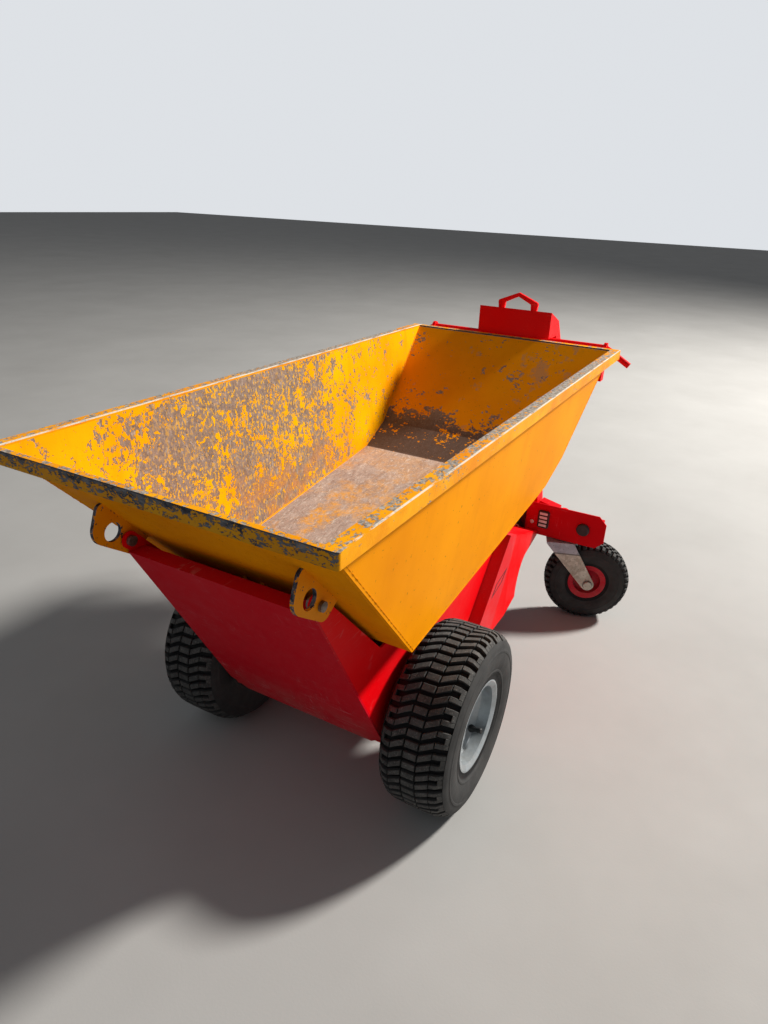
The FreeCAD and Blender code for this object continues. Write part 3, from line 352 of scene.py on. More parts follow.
def hopper_side():
    p = Paint("hopper_side_paint", Specular_IOR_Level=COAT_GLOSS)
    off = chips(p, wear_of_sides(p), 24, 72, 190, (1, 1, 0.8))
    coat = clean_coat(p, YELLOW_LIGHT, YELLOW)
    crumbs = p.ramp(p.noise(150, 4, 0.62, (1, 1, 0.6)), 0.55, 0.575)
    crumbs = p.times(crumbs, p.ramp(p.noise(8, 3), 0.36, 0.60, 0.30, 0.95))
    inside = p.mix(off, coat, p.mix(crumbs, bare_steel(p), (0.80, 0.42, 0.02)))
    corner = p.times(p.ramp(p.axis("Z"), 0.74, 0.60), p.ramp(p.noise(13, 5, 0.6), 0.42, 0.56),
                     off, 0.55)
    inside = p.mix(corner, inside, (0.62, 0.22, 0.02))
    within = p.ramp(p.facing("Z"), -0.02, 0.02)
    colour = p.mix(within, clean_coat(p, YELLOW, YELLOW_DEEP), inside)
    worn = p.times(off, within)
    height = p.add(p.times(worn, -1.0), p.times(p.noise(240, 3), 0.35))
    return p.finish(colour, p.ramp(worn, 0, 1, 0.42, 0.66), height, 0.0007)


def hopper_bent():
    """The floor is bare, the back wall sound above a dark worn foot, the front half worn."""
    p = Paint("hopper_bent_paint", Specular_IOR_Level=COAT_GLOSS)
    x, z = p.axis("X"), p.axis("Z")
    floor = p.ramp(p.facing("Z"), 0.93, 0.96)
    grain = p.ramp(p.noise(34, 7, 0.74, (0.5, 1, 1), 0.8), 0.32, 0.68)
    bare = p.mix(grain, (0.30, 0.205, 0.165), (0.50, 0.39, 0.33))
    swirl = p.ramp(p.noise(90, 4, 0.7, (0.35, 1, 1), 1.6), 0.54, 0.66, 0, 0.6)
    bare = p.mix(swirl, bare, (0.74, 0.66, 0.58))
    dark = p.ramp(p.noise(150, 4, 0.6), 0.57, 0.66, 0, 0.55)
    bare = p.mix(dark, bare, (0.25, 0.17, 0.14))
    patch = p.times(p.ramp(p.noise(6.5, 5, 0.62), 0.46, 0.56), p.ramp(x, -0.24, 0.22, 0.25, 1.0),
                    p.ramp(p.noise(70, 6, 0.72), 0.36, 0.56))
    bare = p.mix(patch, bare, (0.76, 0.33, 0.016))
    foot = p.ramp(z, 0.755, 0.655, smooth=True)
    up_back = p.ramp(x, -0.29, -0.32)
    share = p.add(p.times(foot, 0.72), 0.06, p.ramp(p.noise(4.5, 4, 0.6), 0.50, 0.72, 0, 0.22))
    front_share = p.ramp(p.noise(3.5, 4, 0.6), 0.35, 0.65, 0.35, 0.70)
    share = p.add(p.times(up_back, share),
                  p.times(p.sum("SUBTRACT", 1.0, up_back), front_share))
    off = chips(p, share, 14, 46, 150, (1, 0.7, 1.0))
    coat = clean_coat(p, YELLOW, YELLOW_DEEP)
    scuff = p.times(p.ramp(p.noise(11, 5, 0.68), 0.60, 0.66, 0, 0.55), up_back)
    coat = p.mix(scuff, coat, (0.42, 0.25, 0.15))
    walls = p.mix(off, coat, p.mix(p.times(foot, up_back, 0.8), bare_steel(p),
                                   (0.085, 0.048, 0.034)))
    inside = p.mix(floor, walls, bare)
    within = p.ramp(p.facing("Z"), -0.02, 0.02)
    colour = p.mix(within, clean_coat(p, YELLOW, YELLOW_DEEP), inside)
    height = p.add(p.times(off, -0.8), p.times(p.noise(200, 3), 0.4))
    return p.finish(colour, p.ramp(p.noise(30, 4), 0.3, 0.7, 0.46, 0.66), height, 0.0006)


def rim_paint():
    """Folded rim: its top is rubbed to steel, two edges carry pale lines of rubbed steel with
    painted highlight, its front is scuffed blue and its yellow there has painted shade.
    """
    p = Paint("rim_paint", Specular_IOR_Level=PAINT_GLOSS)
    x, z = p.axis("X"), p.axis("Z")
    y = p.axis("Y")
    top = p.ramp(p.facing("Z"), 0.5, 0.8)
    front = p.ramp(p.facing("X"), 0.5, 0.8)
    high = p.ramp(z, RIM_LOW, RIM_TOP)
    along = p.times(p.ramp(x, 0.55, 0.10, smooth=True), p.ramp(x, -0.72, -0.45, smooth=True))
    share = p.add(p.times(top, p.add(p.times(along, 0.36), 0.34)),
                  p.times(front, p.add(p.times(high, high, 0.62), 0.20)), 0.08,
                  p.ramp(p.noise(6, 3), 0.35, 0.65, -0.10, 0.10))
    off = chips(p, share, 45, 120, 260, (0.55, 0.8, 1.5))
    coat = p.mix(p.ramp(p.noise(9, 4), 0.35, 0.65), (0.92, 0.40, 0.004), YELLOW_DEEP)
    # painted shade: the rim's front-facing yellow is dulled towards a darker yellow
    coat = p.mix(p.times(front, 0.55), coat, YELLOW_PAINTED_SHADE)
    steel = p.mix(p.ramp(p.noise(130, 6, 0.72), 0.38, 0.62), (0.13, 0.105, 0.085),
                  (0.50, 0.44, 0.38))
    blue = p.mix(p.ramp(p.noise(80, 6, 0.7, (0.5, 0.5, 1.4)), 0.36, 0.66),
                 (0.030, 0.033, 0.045), (0.20, 0.20, 0.21))
    colour = p.mix(off, coat, p.mix(front, steel, blue))
    # pale lines along two rim edges: rubbed bright steel with a painted highlight on it
    inner_edge_polish_and_highlight = p.near(y, RIM_LIP - RIM_EDGE_Y - 0.004, 0.006)
    outer_edge_polish_and_highlight = p.near(y, RIM_EDGE_Y - 0.002, 0.0035)
    line = p.times(p.sum("MAXIMUM", inner_edge_polish_and_highlight, outer_edge_polish_and_highlight), top,
                   p.ramp(p.noise(60, 5, 0.7, (0.3, 1, 1)), 0.38, 0.50))
    colour = p.mix(p.times(line, 0.9), colour, (0.86, 0.76, 0.62))
    edge = p.times(p.near(z, RIM_TOP, 0.003), front)
    colour = p.mix(p.times(edge, 0.7), colour, (0.045, 0.048, 0.060))
    height = p.add(p.times(off, -0.8), p.times(p.noise(160, 4), 0.6))
    return p.finish(colour, p.ramp(off, 0, 1, 0.42, 0.52), height, 0.0007)


def ear_paint():
    """Yellow plate whose cut edges are rubbed to dark steel."""
    p = Paint("ear_paint", Specular_IOR_Level=PAINT_GLOSS)
    rim = p.ramp(p.sum("ABSOLUTE", p.facing("Y")), 0.75, 0.35)
    off = chips(p, p.add(p.times(rim, 0.66), 0.10), 40, 90, 200, (1, 1, 1))
    coat = p.mix(p.ramp(p.noise(12, 4), 0.35, 0.65), (0.82, 0.31, 0.003), YELLOW_DEEP)
    steel = p.mix(p.ramp(p.noise(90, 5), 0.4, 0.6), (0.030, 0.034, 0.048), (0.16, 0.17, 0.20))
    return p.finish(p.mix(off, coat, steel), p.ramp(off, 0, 1, 0.42, 0.55), p.noise(180, 3),
                    0.0003)


def red_paint(name, base=RED, faded=0.35, scratch=0.5, dust=0.25):
    """Semi-gloss red with fading, fine straight scratches and dust."""
    p = Paint(name, Specular_IOR_Level=PAINT_GLOSS)
    colour = p.mix(p.ramp(p.noise(4, 4, 0.6), 0.38, 0.74, 0, faded), base, RED_FADED)
    lines = None
    for stretch, turn in (((1.2, 1.2, 24), (0.5, 0, 0)), ((1.5, 28, 1.5), (0, 0, 0)),
                          ((1.2, 1.2, 26), (-0.8, 0.2, 0))):
        fine = p.ramp(p.noise(12, 2, 0.5, stretch, 0.4, turn), 0.666, 0.69)
        lines = fine if lines is None else p.sum("MAXIMUM", lines, fine)
    scars = p.times(lines, p.ramp(p.noise(3.4, 3, 0.6), 0.45, 0.62), scratch)
    colour = p.mix(scars, colour, (0.66, 0.24, 0.26))
    colour = p.mix(p.ramp(p.noise(230, 3, 0.6), 0.675, 0.72, 0, dust), colour,
                   (0.62, 0.40, 0.38))
    low = p.ramp(p.axis("Z"), 0.32, 0.19, 0, 0.34)
    haze = p.times(low, p.ramp(p.noise(16, 5, 0.65), 0.40, 0.70))
    colour = p.mix(haze, colour, (0.34, 0.20, 0.17))
    height = p.add(p.times(scars, -1.0), p.times(p.noise(260, 3), 0.3))
    return p.finish(colour, p.ramp(p.noise(22, 4), 0.3, 0.7, 0.34, 0.50), height, 0.00022)


def housing_paint():
    """Red pressed housing, chalked pink in front of its fold."""
    p = Paint("red_housing", Specular_IOR_Level=PAINT_GLOSS)
    x, z = p.axis("X"), p.axis("Z")
    ahead = p.add(x, p.times(z, FOLD_SLOPE), -FOLD_X)
    chalk = p.times(p.ramp(ahead, -0.006, 0.010),
                    p.ramp(p.noise(7, 5, 0.6), 0.34, 0.66, 0.25, 0.65))
    colour = p.mix(chalk, RED, (0.56, 0.060, 0.072))
    grit = p.ramp(p.noise(240, 3, 0.6), 0.60, 0.70, 0, 0.35)
    colour = p.mix(p.times(grit, chalk), colour, (0.80, 0.34, 0.32))
    return p.finish(colour, p.ramp(p.noise(22, 4), 0.3, 0.7, 0.34, 0.48), p.noise(260, 3),
                    0.0001)


def fork_zinc():
    """Galvanised fork: blue-grey above the dark line, beige with stains below it."""
    p = Paint("fork_zinc", Metallic=0.35)
    z = p.axis("Z")
    spangle = p.ramp(p.cells(80), 0.2, 0.8)
    above = p.mix(spangle, (0.30, 0.32, 0.37), (0.44, 0.46, 0.51))
    below = p.mix(spangle, (0.42, 0.39, 0.32), (0.60, 0.57, 0.49))
    colour = p.mix(p.ramp(z, FORK_LINE_Z - 0.004, FORK_LINE_Z + 0.004), below, above)
    line = p.times(p.near(z, FORK_LINE_Z, 0.003), 0.8)
    colour = p.mix(line, colour, (0.10, 0.095, 0.085))
    stain = p.ramp(p.noise(20, 6, 0.7, (1, 1, 0.6)), 0.50, 0.68, 0, 0.7)
    colour = p.mix(stain, colour, (0.24, 0.20, 0.15))
    spots = p.ramp(p.noise(120, 4, 0.6), 0.62, 0.68, 0, 0.6)
    colour = p.mix(spots, colour, (0.12, 0.10, 0.08))
    return p.finish(colour, p.ramp(p.noise(40, 4), 0.3, 0.7, 0.42, 0.62), p.noise(150, 4),
                    0.0002)


def wheel_silver():
    """Dull zinc with a road film."""
    p = Paint("wheel_silver", Metallic=0.45)
    tone = p.ramp(p.noise(22, 5, 0.6), 0.3, 0.7)
    colour = p.mix(tone, (0.30, 0.345, 0.38), (0.47, 0.51, 0.535))
    film = p.ramp(p.noise(10, 6, 0.7), 0.46, 0.70, 0, 0.65)
    colour = p.mix(film, colour, (0.20, 0.195, 0.18))
    return p.finish(colour, p.ramp(p.noise(50, 4), 0.3, 0.7, 0.34, 0.52), p.noise(220, 4),
                    0.00015)


def dark_metal(name, low, high, metallic=0.6):
    """Plain metal, mottled between two colours."""
    p = Paint(name, Metallic=metallic)
    colour = p.mix(p.ramp(p.noise(60, 5, 0.7), 0.35, 0.7), low, high)
    return p.finish(colour, p.ramp(p.noise(40, 4), 0.3, 0.7, 0.35, 0.55), p.noise(200, 3),
                    0.0001)


def rubber(name, dusty):
    """Weathered rubber: dusty on the blocks and walls; painted shade makes the tread's grooves
    black.

    The vertex attribute "worn" is 0 in a groove, 0.7 on a wall and 1 on top of a block.
    """
    p = Paint(name, Specular_IOR_Level=0.25)
    worn = p.attribute("worn")
    base = p.mix(p.ramp(p.noise(28, 5, 0.65), 0.35, 0.7), (0.018, 0.018, 0.019),
                 (0.034, 0.034, 0.034))
    dust = p.ramp(p.noise(40, 5, 0.65), 0.36, 0.66, 0.25 * dusty, dusty)
    top = p.mix(dust, base, (0.092, 0.090, 0.086))
    top = p.mix(p.ramp(p.noise(260, 4, 0.6), 0.56, 0.68, 0, 0.6 * dusty), top,
                (0.20, 0.195, 0.18))
    film = p.ramp(p.noise(7, 5, 0.6), 0.35, 0.68, 0.15 * dusty, 0.75 * dusty)
    wall = p.mix(film, base, (0.060, 0.059, 0.058))
    colour = p.mix(p.ramp(worn, 0.72, 0.98), wall, top)
    # painted shade: the grooves and the feet of the blocks turn near black, darker than the
    # rubber itself
    colour = p.mix(p.ramp(worn, 0.10, 0.45), (0.0065, 0.0065, 0.0075), colour)
    return p.finish(colour, p.ramp(p.noise(30, 4), 0.3, 0.7, 0.62, 0.82),
                    p.noise(320, 4, 0.7), 0.0003)


def plastic(name, low, high, rough=(0.40, 0.55)):
    """Moulded plastic, mottled between two colours."""
    p = Paint(name)
    colour = p.mix(p.ramp(p.noise(45, 4, 0.6), 0.35, 0.7), low, high)
    return p.finish(colour, p.ramp(p.noise(60, 3), 0.3, 0.7, *rough), p.noise(420, 2), 0.00008)


def floor_material():
    p = Paint("floor_pale")
    colour = p.mix(p.ramp(p.noise(1.5, 4), 0.3, 0.7), (0.35, 0.345, 0.335), (0.39, 0.385, 0.375))
    return p.finish(colour, p.ramp(p.noise(8, 3), 0.3, 0.7, 0.82, 0.92), p.noise(160, 3), 0.0002)


def make_materials():
    return {
        "yellow": yellow_outside(), "side": hopper_side(), "bent": hopper_bent(),
        "rim": rim_paint(), "ear": ear_paint(), "weld": yellow_outside("weld_yellow"),
        "red": red_paint("red_paint", RED, 0.22, 0.30, 0.15),
        # painted shade: the front plate gets a darker copy of the red as its base
        "red_front_painted_shade": red_paint("red_front_painted_shade", (0.60, 0.003, 0.014), 0.22, 0.95, 0.40),
        "red_panel": red_paint("red_panel", (0.56, 0.002, 0.008), 0.10, 0.20, 0.10),
        "red_castor": red_paint("red_castor", (0.50, 0.010, 0.030), 0.35, 0.15, 0.40),
        "housing": housing_paint(), "fork": fork_zinc(), "silver": wheel_silver(),
        "bolt": dark_metal("bolt_steel", (0.10, 0.095, 0.09), (0.34, 0.32, 0.30), 0.85),
        "motor": dark_metal("motor_grey", (0.03, 0.03, 0.032), (0.09, 0.09, 0.09), 0.3),
        "chrome": dark_metal("rod_chrome", (0.62, 0.62, 0.64), (0.82, 0.82, 0.84), 1.0),
        # the castor rubber gets less dust, which makes it darker: partly cleaner rubber, partly
        # painted shade
        "tyre": rubber("tyre_rubber", 0.95), "castor_tyre": rubber("castor_rubber", 0.45),
        "rubber": plastic("pad_rubber", (0.012, 0.012, 0.012), (0.03, 0.03, 0.03), (0.7, 0.85)),
        "black": plastic("black_plastic", (0.010, 0.010, 0.011), (0.026, 0.026, 0.028)),
        "shade": plastic("slot_shade", (0.045, 0.002, 0.006), (0.10, 0.004, 0.010)),
        "pale": plastic("pale_plastic", (0.62, 0.62, 0.61), (0.80, 0.80, 0.78)),
        "floor": floor_material(),
    }


# Meshes
def new_piece(name, body, material, build, angle=35, replaces=()):
    """An object from a function that fills a bmesh in the row frame."""
    bm = bmesh.new()
    build(bm)
    bmesh.ops.recalc_face_normals(bm, faces=bm.faces)
    for edge in bm.edges:
        edge.smooth = not (len(edge.link_faces) == 2
                           and edge.calc_face_angle(0) > math.radians(angle))
    for face in bm.faces:
        face.smooth = True
    mesh = bpy.data.meshes.new(name)
    bm.to_mesh(mesh)
    bm.free()
    mesh.materials.append(material)
    piece = bpy.data.objects.new(name, mesh)
    bpy.context.scene.collection.objects.link(piece)
    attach(piece, body)
    if replaces:
        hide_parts(*replaces)
    return piece


def frame_of(axis):
    axis = Vector(axis).normalized()
    up = Vector((0, 0, 1)) if abs(axis.z) < 0.9 else Vector((1, 0, 0))
    first = (up - axis * up.dot(axis)).normalized()
    return axis, first, axis.cross(first)


def skin(bm, rings, closed=False, caps=True):
    """Faces between like rings of vertices, with the first and last ring filled."""
    pairs = list(zip(rings, rings[1:])) + ([(rings[-1], rings[0])] if closed else [])
    for low, high in pairs:
        for k in range(len(low)):
            after = (k + 1) % len(low)
            bm.faces.new((low[k], low[after], high[after], high[k]))
    if caps and not closed:
        bm.faces.new(rings[0])
        bm.faces.new(list(reversed(rings[-1])))


def lathe(bm, profile, centre, axis, count=64, closed=True):
    """Turns (radius, along) points about an axis."""
    axis, first, second = frame_of(axis)
    centre = Vector(centre)
    rings = []
    for radius, along in profile:
        ring = []
        for step in range(count):
            angle = 2 * math.pi * step / count
            out = first * math.cos(angle) + second * math.sin(angle)
            ring.append(bm.verts.new(centre + axis * along + out * radius))
        rings.append(ring)
    skin(bm, rings, closed)
    return rings


def prism(bm, outline, lift):
    """A closed outline of points, carried along the vector lift."""
    skin(bm, [[bm.verts.new(Vector(p) + Vector(lift) * share) for p in outline]
              for share in (0, 1)])


def rounded(low, high, radius, steps=5):
    """A rectangle's outline with round corners, as (u, v) points."""
    points = []
    for corner, (u, v) in enumerate(((high[0], high[1]), (low[0], high[1]), (low[0], low[1]),
                                     (high[0], low[1]))):
        mid_u = u - radius if u == high[0] else u + radius
        mid_v = v - radius if v == high[1] else v + radius
        for k in range(steps + 1):
            angle = math.pi / 2 * (corner + k / steps)
            points.append((mid_u + radius * math.cos(angle), mid_v + radius * math.sin(angle)))
    return points


# Tyres: pitches round the tread, its depth, and half the length of a block
FRONT_PITCHES = 55
FRONT_DEEP = 0.0105
FRONT_BLOCK = 0.0072
CENTRE_MORE = 0.0008
SHOULDER_LESS = 0.0012
WEB_INTO_LUG = 0.0020
CASTOR_PITCHES = 40
CASTOR_DEEP = 0.006
CASTOR_BLOCK = 0.0062


def tread_block(bm, worn, sections, turn, crown, deep, wheel, mean_r):
    """A block from sections (across, from, to), standing on the tyre's crown."""
    centre, axis, first, second = wheel
    middle = sum(section[0] for section in sections) / len(sections)
    rings = []
    # marks for the rubber's paint: 0 at a block's foot, painted with groove shade, 0.75 near its
    # top, 1 on top
    for drop, grow, mark in ((deep + 0.0015, 0.0012, 0.0), (0.0012, 0.0, 0.75),
                             (0.0, -0.0011, 1.0)):
        low, high = [], []
        for across, start, end in sections:
            wide = across + (grow if across > middle else -grow)
            for row, along in ((low, start - grow), (high, end + grow)):
                angle = turn + along / mean_r
                out = first * math.cos(angle) + second * math.sin(angle)
                vert = bm.verts.new(centre + axis * wide + out * (crown(abs(wide)) - drop))
                vert[worn] = mark
                row.append(vert)
        rings.append(low + high[::-1])
    skin(bm, rings, caps=False)
    count = len(sections)
    for ring in (rings[0], rings[-1]):
        for k in range(count - 1):
            bm.faces.new((ring[k], ring[k + 1], ring[-k - 2], ring[-k - 1]))


def round_shoulder(across, crown_r, sweep, edge, bend):
    """A tyre's outline: a slightly crowned tread that rolls over at its edge."""
    flat = crown_r - across * across / sweep
    if across <= edge:
        return flat
    drop = math.sqrt(max(bend ** 2 - (across - edge) ** 2, 0))
    return min(flat, crown_r - edge * edge / sweep - bend + drop)


def front_crown(across):
    return round_shoulder(across, TYRE_R, 2.6, 0.047, 0.038)


def castor_crown(across):
    return round_shoulder(across, CASTOR_R, 0.9, 0.0165, 0.026)


def tyre_hull(bm, worn, half, wheel, count, wall_from):
    """A tyre's carcass from half of its outline; beyond wall_from it is bare side wall."""
    centre, axis = wheel[:2]
    outline = [(radius, -across) for radius, across in reversed(half[1:])] + half
    # the side wall is marked 0.7, the tread's floor 0, which the rubber paints with groove shade
    for (_, across), ring in zip(outline, lathe(bm, outline, centre, axis, count)):
        for vert in ring:
            vert[worn] = 0.7 if abs(across) > wall_from else 0.0


def front_tyre(way):
    wheel = (Vector((AXLE.x, way * AXLE.y, AXLE.z)), *frame_of((0, 1, 0)))

    def build(bm):
        worn = bm.verts.layers.float.new("worn")
        # (radius, across) points from the tread's middle to the bead
        half = [(front_crown(a) - FRONT_DEEP, a) for a in (0.0, 0.025, 0.048, 0.060, 0.072)]
        half += [(0.2055, 0.0775), (0.2110, 0.0790), (0.2030, 0.0830), (0.1965, 0.0848),
                 (0.1900, 0.0856), (0.1885, 0.0866), (0.1840, 0.0868), (0.1825, 0.0860),
                 (0.1750, 0.0870), (0.1650, 0.0868), (0.1560, 0.0858), (0.1480, 0.0842),
                 (0.1405, 0.0820), (0.1390, 0.0828), (0.1350, 0.0822), (0.1330, 0.0803),
                 (0.1250, 0.0775), (0.1190, 0.0765), (0.1155, 0.0772), (0.1135, 0.0762),
                 (0.1080, 0.0720), (0.1025, 0.0690)]
        tyre_hull(bm, worn, half, wheel, 120, 0.078)
        # (across, along) points of each column's middle: the centre, two slanting columns,
        # then the shoulder lugs
        columns = (
            ((-0.0155, 0.0003), (0.0155, -0.0008)),
            ((0.0192, -0.0012), (0.0340, -0.0098), (0.0492, -0.0185)),
            ((-0.0492, 0.0175), (-0.0340, 0.0080), (-0.0192, -0.0004)),
            ((0.0512, -0.0202), (0.0640, -0.0208), (0.0785, -0.0205)),
            ((-0.0785, 0.0200), (-0.0640, 0.0198), (-0.0512, 0.0185)),
        )
        pitch = 2 * math.pi / FRONT_PITCHES
        for step in range(FRONT_PITCHES):
            turn = step * pitch
            for number, column in enumerate(columns):
                half_long = FRONT_BLOCK + (CENTRE_MORE, 0, 0, -SHOULDER_LESS,
                                           -SHOULDER_LESS)[number]
                sections = [(a, c - half_long, c + half_long) for a, c in column]
                tread_block(bm, worn, sections, turn, front_crown, FRONT_DEEP, wheel, TYRE_R)
            if step % 2:
                continue
            # every other gap between shoulder lugs ends early against a web
            gap = pitch * TYRE_R
            reach = FRONT_BLOCK - WEB_INTO_LUG
            for way_out, shift in ((1, -0.0206), (-1, 0.0199)):
                web = [(way_out * a, shift + reach, shift + gap - reach)
                       for a in (0.0690, 0.0785)]
                tread_block(bm, worn, web, turn, front_crown, FRONT_DEEP, wheel, TYRE_R)
    return build


def castor_tyre(way):
    roll = JOINTS["castor_%s_roll" % dict((b, a) for a, b in SIDES)[way]]
    wheel = (Vector(roll["pos_m"]), *frame_of(roll["axis"]))

    def build(bm):
        worn = bm.verts.layers.float.new("worn")
        half = [(castor_crown(a) - CASTOR_DEEP, a) for a in (0.0, 0.012, 0.024)]
        half += [(0.1265, 0.0350), (0.1290, 0.0368), (0.1240, 0.0392), (0.1180, 0.0408),
                 (0.1130, 0.0412), (0.1115, 0.0420), (0.1085, 0.0422), (0.1070, 0.0414),
                 (0.0980, 0.0418), (0.0900, 0.0405), (0.0840, 0.0380), (0.0800, 0.0362),
                 (0.0785, 0.0366), (0.0745, 0.0350), (0.0700, 0.0328), (0.0655, 0.0318),
                 (0.0610, 0.0300), (0.0510, 0.0245)]
        tyre_hull(bm, worn, half, wheel, 96, 0.0355)
        pitch = 2 * math.pi / CASTOR_PITCHES
        columns = (((-0.0080, -0.0004), (0.0080, 0.0004)),
                   ((0.0100, 0.0000), (0.0215, 0.0035)), ((-0.0215, -0.0035), (-0.0100, 0.0)),
                   ((0.0230, 0.0040), (0.0300, 0.0050), (0.0365, 0.0052)),
                   ((-0.0365, -0.0052), (-0.0300, -0.0050), (-0.0230, -0.0040)))
        for step in range(CASTOR_PITCHES):
            for number, column in enumerate(columns):
                turn = (step + (0.5 if number in (1, 2) else 0.0)) * pitch
                sections = [(a, c - CASTOR_BLOCK, c + CASTOR_BLOCK) for a, c in column]
                tread_block(bm, worn, sections, turn, castor_crown, CASTOR_DEEP, wheel,
                            CASTOR_R)
    return build


def hexagon(bm, centre, axis, across, long):
    """A nut or bolt head with a chamfered top, standing along axis from centre."""
    axis, first, second = frame_of(axis)
    radius = across / math.sqrt(3)
    centre = Vector(centre)
    rings = []
    for along, share in ((0, 1), (long - 0.12 * across, 1), (long, 0.86)):
        rings.append([bm.verts.new(centre + axis * along + radius * share * (
            first * math.cos(math.pi * k / 3) + second * math.sin(math.pi * k / 3)))
            for k in range(6)])
    skin(bm, rings)


def make_wheels(looks):
    for side, way in SIDES:
        new_piece("front_tyre_" + side, "wheel_" + side, looks["tyre"],
                  front_tyre(way), 28, ["tyre_" + side])
        new_piece("castor_block_tyre_" + side, "castor_wheel_" + side,
                  looks["castor_tyre"], castor_tyre(way), 28, ["castor_tyre_" + side])

        def nuts(bm):
            for k in range(NUT_COUNT):
                angle = math.radians(NUT_FIRST_DEG + 360 / NUT_COUNT * k)
                spot = (AXLE.x + NUT_CIRCLE_R * math.cos(angle),
                        way * (AXLE.y - NUT_SEAT_IN),
                        AXLE.z + NUT_CIRCLE_R * math.sin(angle))
                hexagon(bm, spot, (0, way, 0), NUT_ACROSS, NUT_LONG)
        new_piece("wheel_nuts_" + side, "wheel_" + side, looks["bolt"], nuts)

        def valve(bm):
            # a snap-in rubber valve in the bowl of the rim, with its cap
            base = Vector((AXLE.x + VALVE_X, way * VALVE_Y, AXLE.z + VALVE_Z))
            lean = Vector((0.30, way * 0.90, 0.35)).normalized()
            lathe(bm, [(0.0100, -0.003), (0.0100, 0.002), (0.0078, 0.008), (0.0062, 0.014),
                       (0.0060, 0.022), (0.0066, 0.0225), (0.0066, 0.034), (0.0050, 0.036)],
                  base, lean, 18, False)
        new_piece("wheel_valve_" + side, "wheel_" + side, looks["black"], valve)


# Hopper
def bead(bm, start, end, out, size, steps):
    """A weld bead of rippled half-round between two points, pushed out along a direction."""
    start, end, out = Vector(start), Vector(end), Vector(out).normalized()
    across = (end - start).normalized().cross(out).normalized()
    rings = []
    for k in range(steps + 1):
        place = start.lerp(end, k / steps)
        wide = size * (1 + 0.12 * math.sin(k * 1.9) + random.uniform(-0.08, 0.08))
        rings.append([bm.verts.new(place + across * wide * math.cos(math.pi * turn / 5)
                                   + out * wide * (0.75 * math.sin(math.pi * turn / 5) - 0.35))
                      for turn in range(6)])
    skin(bm, rings)


def make_hopper(looks):
    """Weld beads inside, where the bent sheet meets the two sides."""
    def seams(bm):
        line = [(on_line(FLOOR_FRONT, FRONT_TOP, SEAM_TOP), SEAM_TOP), FLOOR_FRONT,
                FLOOR_BACK, BEND, (on_line(BEND, BACK_TOP, SEAM_TOP), SEAM_TOP)]
        for way in (1, -1):
            for (ax, az), (bx, bz) in zip(line, line[1:]):
                start = Vector((ax, way * side_inner(az), az))
                end = Vector((bx, way * side_inner(bz), bz))
                run = (end - start).normalized()
                normal = Vector((-run.z, 0, run.x))
                if normal.z < 0:
                    normal = -normal
                out = normal + Vector((0, -way, 0))
                steps = max(6, int((end - start).length / WELD_STEP))
                bead(bm, start, end, out, WELD_R, steps)
    new_piece("hopper_seam_welds", "hopper", looks["weld"], seams, 50)


# Rear panel, housings and castors
def make_panel(looks):
    """Rings round the switches, and the charge gauge's face with its bars."""
    def rings(bm):
        for z in SWITCH_HEIGHTS:
            lathe(bm, [(0.0056, 0), (0.0094, 0), (0.0094, 0.0016), (0.0056, 0.0016)],
                  (SWITCH_FACE_X, SWITCH_Y, z), (1, 0, 0), 32)
    new_piece("switch_rings", "chassis", looks["pale"], rings)

    def case(bm):
        layers = []
        for lift, inset in ((0, 0), (0.0045, 0), (0.0060, 0.0015)):
            low = [value + inset for value in GAUGE_LOW]
            high = [value - inset for value in GAUGE_HIGH]
            layers.append([bm.verts.new((PANEL_FACE_X + lift, y, z))
                           for y, z in rounded(low, high, GAUGE_ROUND - inset)])
        skin(bm, layers)
    new_piece("charge_gauge_face", "chassis", looks["black"], case, 35,
              ["charge_gauge"])

    def bars(bm):
        for k in range(BAR_COUNT):
            z = BAR_FIRST_Z + BAR_PITCH * k
            outline = rounded((BAR_SIDES[0], z), (BAR_SIDES[1], z + BAR_HIGH), 0.0012, 2)
            prism(bm, [(PANEL_FACE_X + 0.0055, y, up) for y, up in outline],
                  (0.0012, 0, 0))
    new_piece("gauge_bars", "chassis", looks["pale"], bars)


def make_frame(looks):
    """Washers of the castor axles, and dark outlines of painted shade round the slots in the
    rear housings.
    """
    for side, way in SIDES:
        roll = JOINTS["castor_%s_roll" % side]
        centre, axis = Vector(roll["pos_m"]), Vector(roll["axis"])

        def washers(bm):
            for end in (1, -1):
                lathe(bm, [(0.017, 0), (0.017, 0.0018), (0.009, 0.0018)],
                      centre + axis * end * WASHER_OUT, axis * end, 28, False)
        new_piece("castor_washers_" + side, "castor_fork_" + side,
                  looks["bolt"], washers)

        def slot(bm):
            # a dark outline of painted shade round the slot, which lies on the side and goes a
            # little way into it
            mid_x = sum(x for x, _ in SLOT_CORNERS) / 4
            mid_z = sum(z for _, z in SLOT_CORNERS) / 4
            loops = []
            for part, out in ((1.0, -0.0004), (1.0, 0.0006), (0.76, 0.0006), (0.76, -0.0004)):
                loops.append([bm.verts.new((mid_x + (x - mid_x) * part,
                                            way * (HOUSING_Y + out),
                                            mid_z + (z - mid_z) * part))
                              for x, z in SLOT_CORNERS])
            skin(bm, loops, True)
        new_piece("housing_slot_shade_" + side, "chassis", looks["shade"], slot)


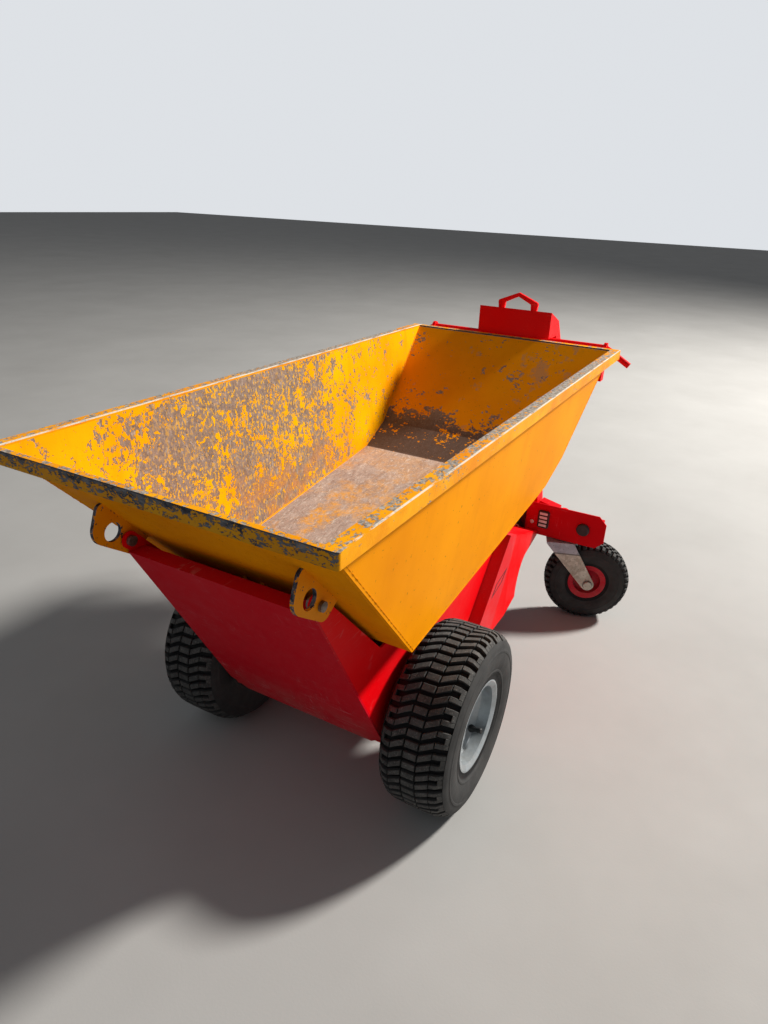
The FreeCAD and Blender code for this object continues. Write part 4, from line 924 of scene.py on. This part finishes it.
NODE_LOOKS = {
    "hopper_bent_sheet": "bent", "hopper_side_left": "side", "hopper_side_right": "side",
    "hopper_rim": "rim", "ear_left": "ear", "ear_right": "ear", "ram_lugs": "yellow",
    "front_plate": "red_front_painted_shade", "rear_housing_left": "housing",
    "rear_housing_right": "housing", "cross_beam": "red_panel", "control_panel": "red_panel",
    "switch_block": "black", "charge_gauge": "black", "charge_socket": "black",
    "indicator_lamp": "pale", "drive_axle": "bolt", "gear_motors": "motor",
    "battery_block": "black", "pivot_bolts": "bolt", "hopper_rests": "rubber",
    "wheel_rim_left": "silver", "wheel_rim_right": "silver", "wheel_hub_left": "motor",
    "wheel_hub_right": "motor", "castor_fork_left": "fork", "castor_fork_right": "fork",
    "castor_rim_left": "red_castor", "castor_rim_right": "red_castor", "ram_barrel": "motor",
    "ram_rod": "chrome", "tyre_left": "tyre", "tyre_right": "tyre",
    "castor_tyre_left": "tyre", "castor_tyre_right": "tyre",
}
BEVELS = {
    "hopper_rim": 0.0022, "front_plate": 0.0012, "console": 0.004, "cross_beam": 0.0015,
    "control_panel": 0.0012, "rear_housing_left": 0.004, "rear_housing_right": 0.004,
    "ear_left": 0.0012, "ear_right": 0.0012, "uprights": 0.0015, "console_post": 0.002,
    "switch_block": 0.0015, "castor_fork_left": 0.0010, "castor_fork_right": 0.0010,
    "loop_handle": 0.003,
}


def dress_nodes(looks):
    """Gives each CAD node its material, red where none is named, and rounds sharp edges."""
    for name, obj in frame["nodes"].items():
        look = looks[NODE_LOOKS.get(name, "red")]
        for slot in obj.material_slots:
            slot.material = look
        if not obj.material_slots:
            obj.data.materials.append(look)
        if name in BEVELS:
            bevel = obj.modifiers.new("edge", "BEVEL")
            bevel.width = BEVELS[name]
            bevel.segments = 2
            bevel.limit_method = "ANGLE"
            bevel.angle_limit = math.radians(32)
            bevel.harden_normals = False


def make_floor(looks):
    mesh = bpy.data.meshes.new("floor")
    corners = [(x * FLOOR_REACH, y * FLOOR_REACH, 0)
               for x, y in ((-1, -1), (1, -1), (1, 1), (-1, 1))]
    mesh.from_pydata(corners, [], [(0, 1, 2, 3)])
    mesh.materials.append(looks["floor"])
    floor = bpy.data.objects.new("floor", mesh)
    bpy.context.scene.collection.objects.link(floor)


make_camera()
make_lights()
LOOKS = make_materials()
make_floor(LOOKS)
dress_nodes(LOOKS)
make_wheels(LOOKS)
make_hopper(LOOKS)
make_panel(LOOKS)
make_frame(LOOKS)
